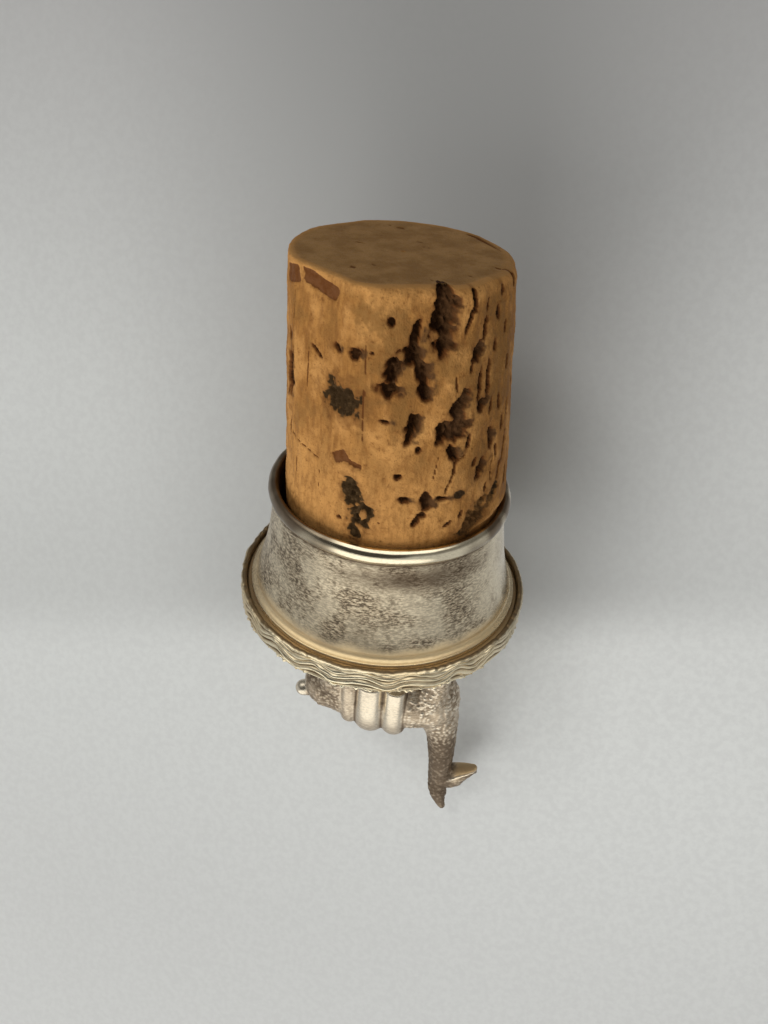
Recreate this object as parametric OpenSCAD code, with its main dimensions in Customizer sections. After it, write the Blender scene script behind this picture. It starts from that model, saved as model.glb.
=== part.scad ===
// Figural bottle stopper: a tapered cork in a flared metal collar, closed by a round plate
// with a wavy border, on which a cast llama with a pack on its back stands.
// The stopper stands on the free end of its cork. Z is its axis, and the llama faces -X.

/* [Cork] */
// Diameter of the cork's free end
cork_tip_d = 17.8; // [15:0.1:19]
// Diameter of the cork where it enters the collar
cork_lip_d = 20.5; // [19.5:0.1:21.5]
// Length of the cork that shows outside the collar
cork_show = 21; // [12:0.5:30]
// Worn edge round the cork's free end
cork_edge = 0.5; // [0.2:0.1:1.5]
// Gap between the cork and the metal round it and behind it
cork_gap = 0.2; // [0.1:0.05:0.4]
// Depth of the deep pores in the cork's side
pore_depth = 0.9; // [0.5:0.05:1.2]
// Depth of the shallow knots in the cork's side
knot_depth = 0.4; // [0.2:0.05:0.6]

/* [Collar] */
// Height of the collar from its mouth to its foot
collar_h = 11.6; // [8:0.2:16]
// Thickness of the collar's sheet
collar_wall = 0.6; // [0.4:0.05:0.8]
// Thickness of the bead rolled round the mouth
bead_d = 1.1; // [0.9:0.05:1.4]
// How far the wall flares out from its neck to its foot
flare_out = 1.75; // [1:0.05:2.4]
// How far the foot flange stands out from the flared wall
flange_out = 0.45; // [0.2:0.05:0.8]
// Thickness of the foot flange
flange_t = 0.5; // [0.3:0.05:0.8]
// Radius of the hollow between the wall and the flange
cove_r = 0.55; // [0.3:0.05:0.8]

/* [Plate and border] */
// Width of the ledge between the flange and the border
ledge = 0.4; // [0.2:0.05:1.2]
// Thickness of the plate
plate_t = 1.8; // [1.4:0.1:2.6]
// Gap of the solder joint between the plate and the border
solder_gap = 0.05; // [0.02:0.01:0.1]
// Thickness of the border strip at its edge on the collar's side
strip_t = 0.3; // [0.2:0.05:0.8]
// How much thicker the border strip is at its edge on the llama's side
strip_swell = 0.3; // [0:0.05:0.6]
// Height of the ridges on the border strip
ridge_h = 0.25; // [0.1:0.05:0.5]
// Wavy ridges on the border strip, one above another
ridges = 3; // [2:1:4]
// Waves in one turn of the border
waves = 22; // [16:1:28]
// Height of a wave from its middle line
wave_a = 0.32; // [0.1:0.02:0.4]
// Rise of the border past the plate on the collar's side
rise_low = 0.45; // [0.2:0.05:0.8]
// Rise of the border past the plate on the llama's side
rise_high = 0.35; // [0.2:0.05:0.8]

/* [Llama's body] */
// Height of the back above the plate
back_h = 19.2; // [17:0.2:22]
// Length of the body from the chest to the rump
body_len = 17.6; // [16:0.2:19]
// Depth of the body from the back to the belly
body_depth = 8.4; // [7.4:0.2:9.2]
// Width of the body
body_w = 7.4; // [6.6:0.2:8.2]
// How much slimmer the rump is than the middle of the body
rump_less = 0.6; // [0:0.1:1.2]
// How much lower the chest lies than the middle of the body
chest_drop = 0.3; // [0:0.1:0.8]
// How far the body's middle stands ahead of the stopper's axis
body_ahead = 1.5; // [0:0.1:2]
// Length of the tail behind the rump
tail_len = 1.5; // [1:0.1:2.5]
// Thickness of the tail's end
tail_d = 1.6; // [1.2:0.1:2]
// Depth of the tail's middle line below the back
tail_drop = 1.8; // [1.4:0.1:3]

/* [Llama's neck and head] */
// Thickness of the neck
neck_d = 3; // [2.4:0.1:3.6]
// Thickness of the neck's root in the shoulders
neck_root_d = 5.6; // [4.8:0.1:6.4]
// How far the neck leans forward up to the head
neck_lean = 0.8; // [0:0.1:1]
// Height of the middle of the skull above the plate
skull_h = 29.8; // [27:0.2:32]
// Diameter of the skull
skull_d = 2.9; // [2.6:0.1:3.4]
// Length of the muzzle from the middle of the skull to the nose
muzzle_len = 5; // [4.2:0.1:5.2]
// Angle of the muzzle below level
muzzle_droop = 38; // [20:1:50]
// Thickness of the nose
nose_d = 1.6; // [1.2:0.1:2]
// Length of the ears above the middle of the skull
ear_len = 4.5; // [3.4:0.1:5.4]
// Thickness of an ear
ear_d = 1.2; // [1:0.1:1.6]
// Thickness of an ear's tip
ear_tip_d = 0.4; // [0.3:0.05:0.8]
// Distance between the ears
ear_gap = 1.6; // [1.2:0.1:2.2]
// How far the tips of the ears lean forward
ear_lean = 0.9; // [0:0.1:1.2]

/* [Llama's legs] */
// Distance between the front and the hind legs
leg_base = 11.8; // [10.5:0.1:12.6]
// Distance between the left and the right legs
leg_gap = 3.8; // [3:0.1:4.6]
// Diameter of the hooves
hoof_d = 2.2; // [1.8:0.1:2.8]
// Height of the hooves
hoof_h = 1; // [0.6:0.1:1.6]
// Thickness of the legs above the hooves
shank_d = 1.8; // [1.4:0.1:2.4]
// Height of the knees above the plate
knee_h = 6.4; // [5:0.2:8]
// Thickness of the knees
knee_d = 2.2; // [1.8:0.1:2.8]
// Thickness of the front legs where they enter the body
fore_thigh_d = 3.6; // [3:0.1:4.4]
// Thickness of the hind legs where they enter the body
hind_thigh_d = 4.4; // [3.4:0.1:5]

/* [Pack] */
// How far the pack stands out from the body
pack_bulge = 1; // [0.6:0.1:1.6]
// Height of the pack's lower edge above the plate
pack_hem_h = 11.4; // [10:0.2:14]
// How far the rear end of the pack lies behind the stopper's axis
pack_rear = 2.8; // [2:0.1:3.5]
// Length of the pack's rear roll along the body
rear_roll = 1.6; // [1:0.1:2.4]
// Length of the pack's middle roll along the body
middle_roll = 3; // [2:0.1:4]
// Length of the pack's front roll along the body
front_roll = 2.4; // [1.6:0.1:3]
// Roundness of the rolls' edges
roll_edge = 1.2; // [0.8:0.1:1.6]

/* [Hidden] */
$fn = 96;

tip_r = cork_tip_d / 2;
cork_r = cork_lip_d / 2;
mouth_z = cork_show;
foot_z = mouth_z + collar_h;
cork_top_z = foot_z - cork_gap;

// Pores and knots of the bark: angle round the axis, height above the free end, width, length and
// lean from upright. The big ones follow the grain on the front, and the back has fewer.
PORES = [
    [-120, 2.7, 1.4, 3.8, -3],
    [-107, 4.1, 0.8, 3.4, -2],
    [-111, 6.9, 0.9, 2.8, 12],
    [-97.5, 6.7, 1.1, 2.9, -13],
    [-106.5, 10.4, 0.7, 2.7, -22],
    [-129, 9.1, 1, 3.2, -34],
    [-122, 11, 1.1, 2.6, 4],
    [-127, 13.2, 0.6, 2, 22],
    [-139, 4.8, 0.9, 1.7, -30],
    [-145, 3.3, 0.5, 1.7, -10],
    [-148, 7.5, 0.5, 3.2, -6],
    [-151.5, 12.5, 0.6, 2.3, 4],
    [-144, 14.9, 0.8, 2, -28],
    [-114, 17, 0.8, 1.6, -12],
    [-165, 14.4, 0.5, 2.6, -6],
    [160, 8.6, 0.8, 2.6, -8],
    [128, 14.2, 0.9, 2.2, 10],
    [102, 5.2, 0.8, 2.8, -6],
    [75, 11.4, 0.9, 2.4, 8],
    [44, 16.2, 0.8, 2, -12],
    [20, 6.4, 0.8, 2.6, 6],
    [-12, 13, 0.7, 2.4, -8]
];
KNOTS = [
    [-71, 9, 2.2, 2.3, 0],
    [-81, 17.8, 1.5, 3.8, 4],
    [-139, 19, 1.5, 3.6, -36],
    [-34, 9.8, 0.6, 3.6, -2],
    [145, 18, 1.4, 2, 6],
    [58, 4, 1.3, 1.8, -4]
];

bore_r = cork_r + cork_gap;
neck_r = bore_r + collar_wall;
bead_z = mouth_z + bead_d / 2;
flange_z = foot_z - flange_t;
wall_foot_r = neck_r + flare_out;
flange_r = wall_foot_r + flange_out;
// The wall is an arc that leaves the bead upright and reaches the foot's radius at the flange.
flare_r = ((flange_z - bead_z) ^ 2 + flare_out ^ 2) / (2 * flare_out);
arc_fn = 360;

plate_r = flange_r + ledge;
ground_z = foot_z + plate_t;
strip_inner_r = plate_r + solder_gap;
strip_r = strip_inner_r + strip_t;
rim_low_z = foot_z - rise_low;
rim_h = rise_low + plate_t + rise_high;
wave_steps = 8;
edge_wave = 0.3;

body_z = back_h - body_depth / 2;
chest_x = body_ahead + body_len / 2;
rump_x = body_ahead - body_len / 2;
neck_x = chest_x - neck_d / 2;
skull_x = neck_x + neck_lean;
nose_reach = muzzle_len - nose_d / 2;
form_fn = 24;

// One upright section through the border strip, as points of radius, height and share of the wave.
function strip_section() =
    let (rows = 2 * ridges, row_h = (rim_h - 2 * wave_a) / rows)
    concat(
        [[strip_inner_r, 0, 0], [strip_r, 0, edge_wave]],
        [for (i = [1 : rows - 1])
            [strip_r + strip_swell * i / rows + ridge_h * (i % 2), wave_a + i * row_h, 1]],
        [[strip_r + strip_swell, rim_h, edge_wave], [strip_inner_r, rim_h, 0]]
    );

// An egg-shaped mass with its middle at a point and a size along each axis.
module mass_at(middle, size) {
    translate(middle)
        scale(size)
            sphere(d = 1, $fn = form_fn);
}

// A limb through points that each hold a place and a thickness: [x, y, z, diameter].
module limb(points) {
    for (i = [0 : len(points) - 2])
        hull()
            for (p = [points[i], points[i + 1]])
                mass_at([p[0], p[1], p[2]], [p[3], p[3], p[3]]);
}

// Radius of the cork at a height above its free end.
function cork_r_at(z) =
    let (share = (z - cork_edge) / (mouth_z - cork_edge))
    tip_r + (cork_r - tip_r) * min(max(share, 0), 1);

// A round-ended hollow cut square into the cork's side.
module bark_hollow(place, depth) {
    width = place[2];
    straight = place[3] - width;
    rotate([0, 0, place[0]])
        translate([cork_r_at(place[1]) - depth, 0, place[1]])
            rotate([place[4], 0, 0])
                rotate([90, 0, 90])
                    linear_extrude(height = 2 * depth + cork_r - tip_r) {
                        square([width, straight], center = true);
                        for (end = [-1, 1])
                            translate([0, end * straight / 2])
                                circle(d = width);
                    }
}

module cork() {
    color("peru")
        difference() {
            rotate_extrude()
                polygon([
                    [0, 0],
                    [tip_r - cork_edge, 0],
                    [tip_r, cork_edge],
                    [cork_r, mouth_z],
                    [cork_r, cork_top_z],
                    [0, cork_top_z]
                ]);
            for (place = PORES)
                bark_hollow(place, pore_depth);
            for (place = KNOTS)
                bark_hollow(place, knot_depth);
        }
}

// The flared sheet between two arcs about one centre, from the bead to the foot.
module wall_section() {
    intersection() {
        translate([neck_r + flare_r, bead_z])
            difference() {
                circle(r = flare_r + collar_wall, $fn = arc_fn);
                circle(r = flare_r, $fn = arc_fn);
            }
        translate([bore_r, bead_z])
            square([flange_r - bore_r, collar_h - bead_d / 2]);
    }
}

// The flat foot flange, with a hollow that runs up into the wall.
module flange_section() {
    inner_r = wall_foot_r - collar_wall;
    difference() {
        translate([inner_r, flange_z - cove_r])
            square([flange_r - inner_r, cove_r + flange_t]);
        translate([flange_r, flange_z - cove_r])
            circle(r = cove_r);
    }
}

module collar() {
    color("silver")
        rotate_extrude() {
            translate([bore_r + bead_d / 2, bead_z])
                circle(d = bead_d);
            wall_section();
            flange_section();
        }
}

module plate() {
    color("silver")
        translate([0, 0, foot_z])
            cylinder(r = plate_r, h = plate_t);
}

module wavy_band() {
    section = strip_section();
    rows = len(section);
    turns = waves * wave_steps;
    points = [
        for (i = [0 : turns - 1], p = section)
            let (a = 360 * i / turns)
            [p[0] * cos(a), p[0] * sin(a), rim_low_z + p[1] + p[2] * wave_a * sin(waves * a)]
    ];
    faces = [
        for (i = [0 : turns - 1], j = [0 : rows - 1])
            let (next_i = (i + 1) % turns, next_j = (j + 1) % rows)
            [i * rows + j, i * rows + next_j, next_i * rows + next_j, next_i * rows + j]
    ];
    color("palegoldenrod")
        polyhedron(points, faces, convexity = 4);
}

module llama_body() {
    rump_depth = body_depth - rump_less;
    hull() {
        mass_at([rump_x + rump_depth / 2, 0, body_z], [rump_depth, body_w - rump_less, rump_depth]);
        mass_at([body_ahead, 0, body_z], [body_depth, body_w, body_depth]);
        mass_at([chest_x - body_depth / 2, 0, body_z - chest_drop], [body_depth, body_w, body_depth]);
    }
    limb([
        [rump_x + tail_d, 0, back_h - tail_drop, tail_d + rump_less],
        [rump_x - tail_len + tail_d / 2, 0, back_h - tail_drop, tail_d]
    ]);
}

module llama_neck_and_head() {
    nose_x = skull_x + nose_reach * cos(muzzle_droop);
    nose_z = skull_h - nose_reach * sin(muzzle_droop);
    limb([
        [chest_x - neck_root_d / 2 - chest_drop, 0, body_z, neck_root_d],
        [neck_x, 0, back_h, neck_d],
        [skull_x, 0, skull_h, skull_d],
        [nose_x, 0, nose_z, nose_d]
    ]);
    for (side = [-1, 1])
        limb([
            [skull_x, side * ear_gap / 2, skull_h + ear_d / 2, ear_d],
            [skull_x, side * ear_gap / 2, skull_h + ear_len / 2, ear_d],
            [skull_x + ear_lean, side * ear_gap / 2, skull_h + ear_len - ear_tip_d / 2, ear_tip_d]
        ]);
}

// One leg, with a flat hoof on the plate and its upper end inside the body.
module llama_leg(x, y, thigh_d) {
    hull() {
        translate([x, y, 0])
            cylinder(d = hoof_d, h = hoof_h, $fn = form_fn);
        mass_at([x, y, hoof_h + shank_d / 2], [shank_d, shank_d, shank_d]);
    }
    limb([
        [x, y, hoof_h + shank_d / 2, shank_d],
        [x, y, knee_h, knee_d],
        [x, y, body_z - thigh_d / 2, thigh_d]
    ]);
}

// One roll of the pack, laid over the back, with rounded ends.
module pack_roll(start, length) {
    roll_h = back_h + pack_bulge - pack_hem_h;
    hull()
        for (x = [start + roll_edge / 2, start + length - roll_edge / 2])
            mass_at([x, 0, pack_hem_h + roll_h / 2], [roll_edge, body_w + 2 * pack_bulge, roll_h]);
}

module llama_pack() {
    pack_roll(-pack_rear, rear_roll);
    pack_roll(-pack_rear + rear_roll, middle_roll);
    pack_roll(-pack_rear + rear_roll + middle_roll, front_roll);
}

module llama() {
    color("gray")
        translate([0, 0, ground_z])
            rotate([0, 0, 180]) {
                llama_body();
                llama_neck_and_head();
                llama_pack();
                for (side = [-1, 1]) {
                    llama_leg(body_ahead + leg_base / 2, side * leg_gap / 2, fore_thigh_d);
                    llama_leg(body_ahead - leg_base / 2, side * leg_gap / 2, hind_thigh_d);
                }
            }
}

cork();
collar();
plate();
wavy_band();
llama();
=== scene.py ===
import math
import random

import bmesh
import bpy
import numpy as np
from mathutils import Matrix, Vector, noise
from mathutils.bvhtree import BVHTree


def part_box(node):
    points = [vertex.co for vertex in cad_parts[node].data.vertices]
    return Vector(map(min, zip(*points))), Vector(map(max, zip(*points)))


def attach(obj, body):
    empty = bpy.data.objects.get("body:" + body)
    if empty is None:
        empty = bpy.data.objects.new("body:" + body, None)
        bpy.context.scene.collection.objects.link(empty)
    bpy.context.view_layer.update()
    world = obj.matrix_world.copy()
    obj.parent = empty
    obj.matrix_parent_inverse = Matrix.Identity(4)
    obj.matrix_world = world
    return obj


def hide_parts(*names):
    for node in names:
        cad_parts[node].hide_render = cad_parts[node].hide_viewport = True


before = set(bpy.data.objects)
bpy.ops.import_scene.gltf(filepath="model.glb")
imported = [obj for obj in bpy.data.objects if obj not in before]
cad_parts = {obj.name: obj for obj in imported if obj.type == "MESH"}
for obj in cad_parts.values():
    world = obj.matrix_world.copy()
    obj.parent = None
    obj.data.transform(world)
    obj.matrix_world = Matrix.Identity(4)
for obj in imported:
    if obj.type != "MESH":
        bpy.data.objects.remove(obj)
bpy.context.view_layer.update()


# The view. The stopper is seen from close by and from beyond its cork's end, on the llama's left side,
# with the picture turned over: the cork is at the top and the llama hangs below it.
MM = 0.001
SENSOR = 36.0
FOCAL_PIXELS = 769.0
PICTURE_PIXELS = 1024.0
HEADING = math.radians(8.0)
CAMERA_OUT = 60.63
CAMERA_HEIGHT = -17.96
TILT = math.radians(35.31)
PAN = math.radians(-0.41)
ROLL = math.radians(4.87)
NEAR_CLIP = 1.0
FAR_CLIP = 20000.0
UP = Vector((0.0, 0.0, 1.0))

inward = Vector((math.sin(HEADING), math.cos(HEADING), 0.0))
rightward = Vector((-math.cos(HEADING), math.sin(HEADING), 0.0))
level_ahead = inward * math.cos(PAN) + rightward * math.sin(PAN)
level_right = rightward * math.cos(PAN) - inward * math.sin(PAN)
ahead = level_ahead * math.cos(TILT) + UP * math.sin(TILT)
below = UP * math.cos(TILT) - level_ahead * math.sin(TILT)
picture_right = level_right * math.cos(ROLL) - below * math.sin(ROLL)
picture_down = level_right * math.sin(ROLL) + below * math.cos(ROLL)

lens = bpy.data.cameras.new("view_lens")
lens.sensor_width = SENSOR
lens.lens = SENSOR * FOCAL_PIXELS / PICTURE_PIXELS
lens.clip_start = NEAR_CLIP * MM
lens.clip_end = FAR_CLIP * MM
camera = bpy.data.objects.new("view_camera", lens)
turn = Matrix((picture_right, -picture_down, -ahead)).transposed().to_4x4()
camera.matrix_world = Matrix.Translation((UP * CAMERA_HEIGHT - inward * CAMERA_OUT) * MM) @ turn
bpy.context.scene.collection.objects.link(camera)
bpy.context.scene.camera = camera
bpy.context.scene.view_settings.view_transform = "Standard"


# Cork. A plug of natural cork, cut from bark and whittled to a taper by hand, with flats down its front.
# It is pressed into the collar, which squeezes it at the mouth, and stands a little askew.
CORK_TIP_R = 8.9
CORK_LIP_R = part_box("cork")[1].x / MM
CORK_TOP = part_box("cork")[1].z / MM
CORK_LIP_Z = 21.0
CORK_FINE_Z = 22.0
CORK_SEAT_R = 10.2
CORK_TIP_SHIFT = -0.68
CORK_LIP_SHIFT = 0.45
CORK_FRONT_COLUMNS = 256
CORK_BACK_COLUMNS = 144
CORK_ROWS = 185
CORK_ROW_CROWDING = 1.2
CORK_END_RINGS = 30
CORK_SEAT_RINGS = 7
CORK_LUMP = 0.09
CORK_LUMP_SIZE = 2.4
CORK_GRIT = 0.05
CORK_RAG_SIZE = 0.7
CORK_GRIT_SIZE = 0.28
CORK_EDGE = 0.34
CORK_EDGE_WORN = 0.4
FRONT = -math.pi / 2 - HEADING

# Flats: angle from the front, positive to the picture's right, and the cut at the free end in mm.
CORK_FLATS = [(-42.0, 0.58), (11.0, 0.5), (52.0, 0.3), (120.0, 0.25), (-140.0, 0.3)]

# Pores: angle, height above the free end, half width, half length, lean and depth.
CORK_PORES = [
    (23.2, 1.9, 1.0, 2.5, 4, 1.15), (22.0, 3.9, 0.7, 1.15, 14, 0.95),
    (9.3, 3.2, 0.4, 1.3, 14, 0.9), (7.8, 4.8, 0.6, 1.0, -14, 0.95),
    (12.6, 6.2, 0.62, 1.25, -12, 0.6), (14.0, 7.6, 0.5, 0.85, -10, 0.9),
    (-1.8, 6.2, 0.55, 1.5, 12, 0.95), (-2.8, 7.4, 0.9, 0.75, 10, 0.85),
    (8.4, 10.4, 0.45, 1.45, 22, 1.0), (31.0, 8.9, 0.55, 1.5, 36, 0.7),
    (23.5, 10.8, 0.65, 1.15, -4, 1.0), (31.0, 10.6, 1.0, 1.3, 20, 0.5),
    (28.6, 12.8, 0.4, 1.0, -22, 0.75), (23.6, 16.7, 0.45, 0.22, 10, 0.4),
    (38.0, 0.9, 0.24, 0.9, -8, 0.5), (35.0, 2.4, 0.2, 1.05, 20, 0.4),
    (41.0, 4.8, 0.55, 0.9, 30, 0.7), (46.6, 3.3, 0.28, 0.85, 10, 0.6),
    (57.0, 2.4, 0.26, 0.6, 5, 0.5), (43.4, 7.5, 0.26, 1.4, 8, 0.6),
    (49.8, 7.3, 0.28, 1.6, 6, 0.7), (45.0, 9.2, 0.46, 0.7, 4, 0.7),
    (53.5, 12.5, 0.38, 1.2, -4, 0.7), (46.0, 14.9, 0.5, 1.05, 28, 0.7),
    (37.0, 12.0, 0.18, 0.95, 18, 0.4), (59.6, 9.8, 0.2, 0.65, 0, 0.5),
    (55.0, 5.0, 0.28, 0.55, 12, 0.5), (66.0, 6.6, 0.18, 0.6, 4, 0.4),
    (67.0, 14.4, 0.28, 1.3, 6, 0.6), (72.0, 17.2, 0.3, 0.9, 10, 0.6),
    (62.0, 16.2, 0.18, 0.8, 12, 0.4), (41.0, 14.1, 0.2, 0.55, 30, 0.4),
    (73.0, 0.6, 0.3, 0.7, 12, 0.5), (63.0, 11.8, 0.16, 0.7, 6, 0.4),
    (-2.5, 2.4, 0.26, 0.32, 25, 0.4), (-29.4, 5.0, 0.42, 0.32, 30, 0.35),
    (-19.0, 5.1, 0.55, 0.42, -30, 0.45), (-43.0, 6.2, 0.18, 0.8, -62, 0.35),
    (-11.0, 4.8, 0.15, 0.13, 0, 0.2), (-4.6, 10.0, 0.4, 0.22, 10, 0.35),
    (11.5, 12.4, 0.24, 0.34, 30, 0.35), (2.4, 14.6, 0.34, 0.3, 0, 0.4),
    (5.2, 16.7, 0.48, 0.34, 10, 0.45), (16.2, 16.9, 0.5, 0.8, 12, 0.5),
    (14.2, 18.2, 0.34, 0.28, 0, 0.4), (10.7, 18.8, 0.2, 0.55, 30, 0.4),
    (-25.8, 19.4, 0.2, 0.16, -20, 0.25), (-66.0, 9.4, 0.7, 2.0, 2, 0.55),
    (-68.0, 6.0, 0.45, 0.5, -20, 0.5), (-66.0, 13.6, 0.18, 0.8, -8, 0.35),
    (102.0, 8.6, 0.4, 1.3, 8, 0.9), (134.0, 14.2, 0.45, 1.1, -10, 0.9),
    (160.0, 5.2, 0.4, 1.4, 6, 0.9), (-173.0, 11.4, 0.45, 1.2, -8, 0.9),
    (-142.0, 16.2, 0.4, 1.0, 12, 0.9), (-118.0, 6.4, 0.4, 1.3, -6, 0.9),
    (-86.0, 13.0, 0.35, 1.2, 8, 0.9), (48.0, 1.6, 0.14, 0.5, 10, 0.3),
    (52.5, 9.7, 0.16, 0.7, 12, 0.4), (63.5, 3.8, 0.14, 0.5, 8, 0.3),
    (58.0, 14.0, 0.16, 0.6, -6, 0.4), (50.0, 17.0, 0.15, 0.5, 20, 0.3),
    (69.0, 10.6, 0.16, 0.7, 4, 0.4), (34.0, 18.6, 0.14, 0.4, 30, 0.3),
    (26.5, 19.3, 0.12, 0.6, 55, 0.25), (37.0, 6.0, 0.13, 0.4, 10, 0.3),
    (60.5, 0.8, 0.2, 0.5, 8, 0.4), (-34.0, 11.8, 0.1, 0.12, 0, 0.2),
]
# Thin cracks, with the same six numbers.
CORK_CRACKS = [
    (30.2, 13.9, 0.14, 0.8, 10, 0.4), (27.2, 15.5, 0.13, 1.3, 24, 0.4),
    (-52.0, 14.6, 0.09, 3.2, -80, 0.2), (33.0, 13.4, 0.11, 0.8, 60, 0.3),
    (-58.0, 13.6, 0.07, 0.9, -30, 0.15), (-62.0, 5.0, 0.06, 2.6, 0, 0.15),
    (20.0, 14.0, 0.05, 1.4, 12, 0.1), (-39.0, 18.0, 0.05, 2.2, 0, 0.12),
    (-14.5, 8.0, 0.06, 4.4, 1, 0.1), (29.0, 7.0, 0.08, 1.0, -6, 0.2),
    (-7.0, 19.0, 0.06, 0.8, -80, 0.12), (55.0, 15.2, 0.08, 1.2, 8, 0.25),
    (-50.0, 8.5, 0.05, 3.2, 1, 0.08), (-57.0, 17.0, 0.05, 2.4, -1, 0.08),
]
# Dark knots of bark, with the same six numbers.
CORK_KNOTS = [
    (-27.5, 9.0, 1.85, 1.5, 20, 0.3), (-19.2, 16.8, 0.85, 1.5, -10, 0.35),
    (-14.6, 18.6, 1.15, 1.35, 8, 0.4), (-18.0, 20.4, 0.6, 1.0, 0, 0.3),
    (44.0, 19.6, 1.15, 2.4, 40, 0.5), (57.0, 18.0, 0.55, 1.25, 30, 0.4),
    (33.0, 16.6, 0.45, 0.5, 0, 0.15), (36.0, 20.6, 0.9, 0.6, 20, 0.35),
    (117.0, 18.0, 0.7, 1.0, -6, 0.4), (-156.0, 4.0, 0.65, 0.9, 4, 0.4),
]
# Brown inlays of bark in the surface, with the same six numbers.
CORK_INLAYS = [
    (-65.3, 1.2, 1.3, 0.74, -16, 0.1), (-42.5, 1.05, 0.62, 2.3, -82, 0.14),
    (-26.0, 13.8, 0.75, 0.5, -30, 0.2), (-19.5, 14.1, 0.24, 0.95, -76, 0.2),
]
# Soft olive and brown patches in the bark, some of them painted shade on the middle facet and the right
# side, with their strength in place of a depth.
CORK_SHADES = [
    (-13.0, 2.2, 1.3, 1.9, 0, 0.8), (-14.5, 8.0, 0.5, 6.0, 1, 0.6), (2.5, 9.8, 1.5, 1.9, 8, 0.7),
    (24.8, 5.6, 1.7, 1.7, 0, 0.75), (60.0, 6.5, 2.4, 6.5, 0, 0.8), (-7.0, 14.4, 1.7, 1.4, 0, 0.5),
    (14.0, 14.0, 1.6, 1.6, 0, 0.3), (-66.0, 9.6, 0.9, 3.0, 0, 0.8), (40.0, 14.6, 2.2, 2.8, 10, 0.5),
    (36.0, 8.0, 2.4, 5.5, 6, 0.6), (3.0, 4.6, 3.6, 4.4, 0, 0.75), (-36.0, 4.0, 1.0, 1.6, 0, 0.25),
    (-12.0, 16.6, 0.8, 2.0, 6, 0.5),
]
# The browner side of one knot and two pale chips, with the first five numbers.
CORK_BROWN_KNOT = (45.0, 19.4, 1.4, 2.8, 40)
CORK_CHIPS = [(-13.4, 18.5, 0.34, 0.62, 4), (54.0, 20.0, 0.4, 2.4, 64)]
BROWN_KNOT_FADE = 0.52
CHIP_RISE = 0.2
# Pores wider than this get painted light on their floor, shifted a few degrees towards the lit side.
PIT_FLOOR_WIDTH = 0.34
PIT_LIGHT_SHIFT = 3.2
# Pale wear with a painted highlight along the free edge, and painted light on the bark towards the collar
# on the left.
EDGE_WEAR_AND_LIGHT_HEIGHT = 0.7
EDGE_WEAR_AND_LIGHT_SIDE = -35.0
LIP_GLOW = 0.85
LIP_GLOW_HEIGHTS = (8.0, 20.0)
LIP_GLOW_ANGLES = (0.0, 45.0)
# Pores scattered over the back: how many, and the range of each number, with their length and depth as
# multiples of the half width.
BACK_PORES = 110
BACK_PORE_ANGLES = (78.0, 285.0)
BACK_PORE_HEIGHTS = (0.8, 20.5)
BACK_PORE_WIDTHS = (0.1, 0.28)
BACK_PORE_STRETCH = (0.9, 4.5)
BACK_PORE_LEANS = (-18.0, 26.0)
BACK_PORE_DEPTH = 1.6
BACK_PORE_SEED = 7
# Marks on the end face: angle, radius, half width, half length, lean and depth.
END_MARKS = [
    (-111.5, 3.63, 0.16, 0.4, 70, 0.3), (-176.0, 6.5, 0.22, 0.5, 75, 0.3), (-169.0, 7.1, 0.14, 0.25, 60, 0.2),
    (-36.2, 5.9, 0.34, 0.36, 0, 0.12), (-27.3, 4.4, 0.22, 0.32, 40, 0.08), (73.0, 7.6, 0.18, 0.5, 40, 0.25),
    (160.0, 3.2, 0.12, 0.6, 60, 0.08), (130.0, 2.4, 0.14, 0.8, 70, 0.07), (20.0, 6.6, 0.22, 0.3, 50, 0.08),
    (48.0, 6.9, 0.22, 0.25, 30, 0.1), (-150.0, 4.4, 0.12, 0.5, 80, 0.07), (100.0, 5.0, 0.1, 0.5, 60, 0.06),
]
SPLIT_ANGLE = 122.0
SPLIT_HALF_SPAN = 29.0
SPLIT_R = 7.72
SPLIT_BOW = 0.4
SPLIT_HALF_WIDTH = 0.11
SPLIT_DEPTH = 0.4
SPLIT_STEP = 0.12
END_DIP = 0.04
END_UNEVEN = 0.05
END_GRAIN = 0.02


def smooth_step(low, high, value):
    """0 below low, 1 above high and an even slope between, for numbers or arrays."""
    share = np.clip((value - low) / (high - low), 0.0, 1.0)
    return share * share * (3.0 - 2.0 * share)


def round_point(angle, radius, height):
    """A point in mm about the stopper's axis, at an angle from the front."""
    around = FRONT - math.radians(angle)
    return Vector((radius * math.cos(around), radius * math.sin(around), height))


def angle_between(first, second):
    """The difference of two angles in degrees, from -180 to 180."""
    return (first - second + 180.0) % 360.0 - 180.0


def noise_grid(angles, heights, radius, size, seed):
    """Smooth noise on a drum, for features of about that size in mm."""
    shift = Vector((seed * 17.3, seed * 5.1, seed * 9.7))
    rows = [[noise.noise(round_point(a, radius, z) / size + shift) for a in angles] for z in heights]
    return np.array(rows)


def ring_piece(name, rings, closed):
    """A mesh through rings of points in mm, with its last ring joined to its first or both ends capped."""
    columns = len(rings[0])
    points = [point * MM for ring in rings for point in ring]
    faces = []
    for row in range(len(rings) if closed else len(rings) - 1):
        here = row * columns
        there = (row + 1) % len(rings) * columns
        for i in range(columns):
            j = (i + 1) % columns
            faces.append((here + i, here + j, there + j, there + i))
    if not closed:
        for start, ring in ((0, rings[0]), (len(points) - columns, rings[-1])):
            points.append(sum(ring, Vector()) * MM / columns)
            hub = len(points) - 1
            faces.extend((start + i, start + (i + 1) % columns, hub) for i in range(columns))
    mesh = bpy.data.meshes.new(name)
    mesh.from_pydata(points, [], faces)
    return finish_mesh(name, mesh)


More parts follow.
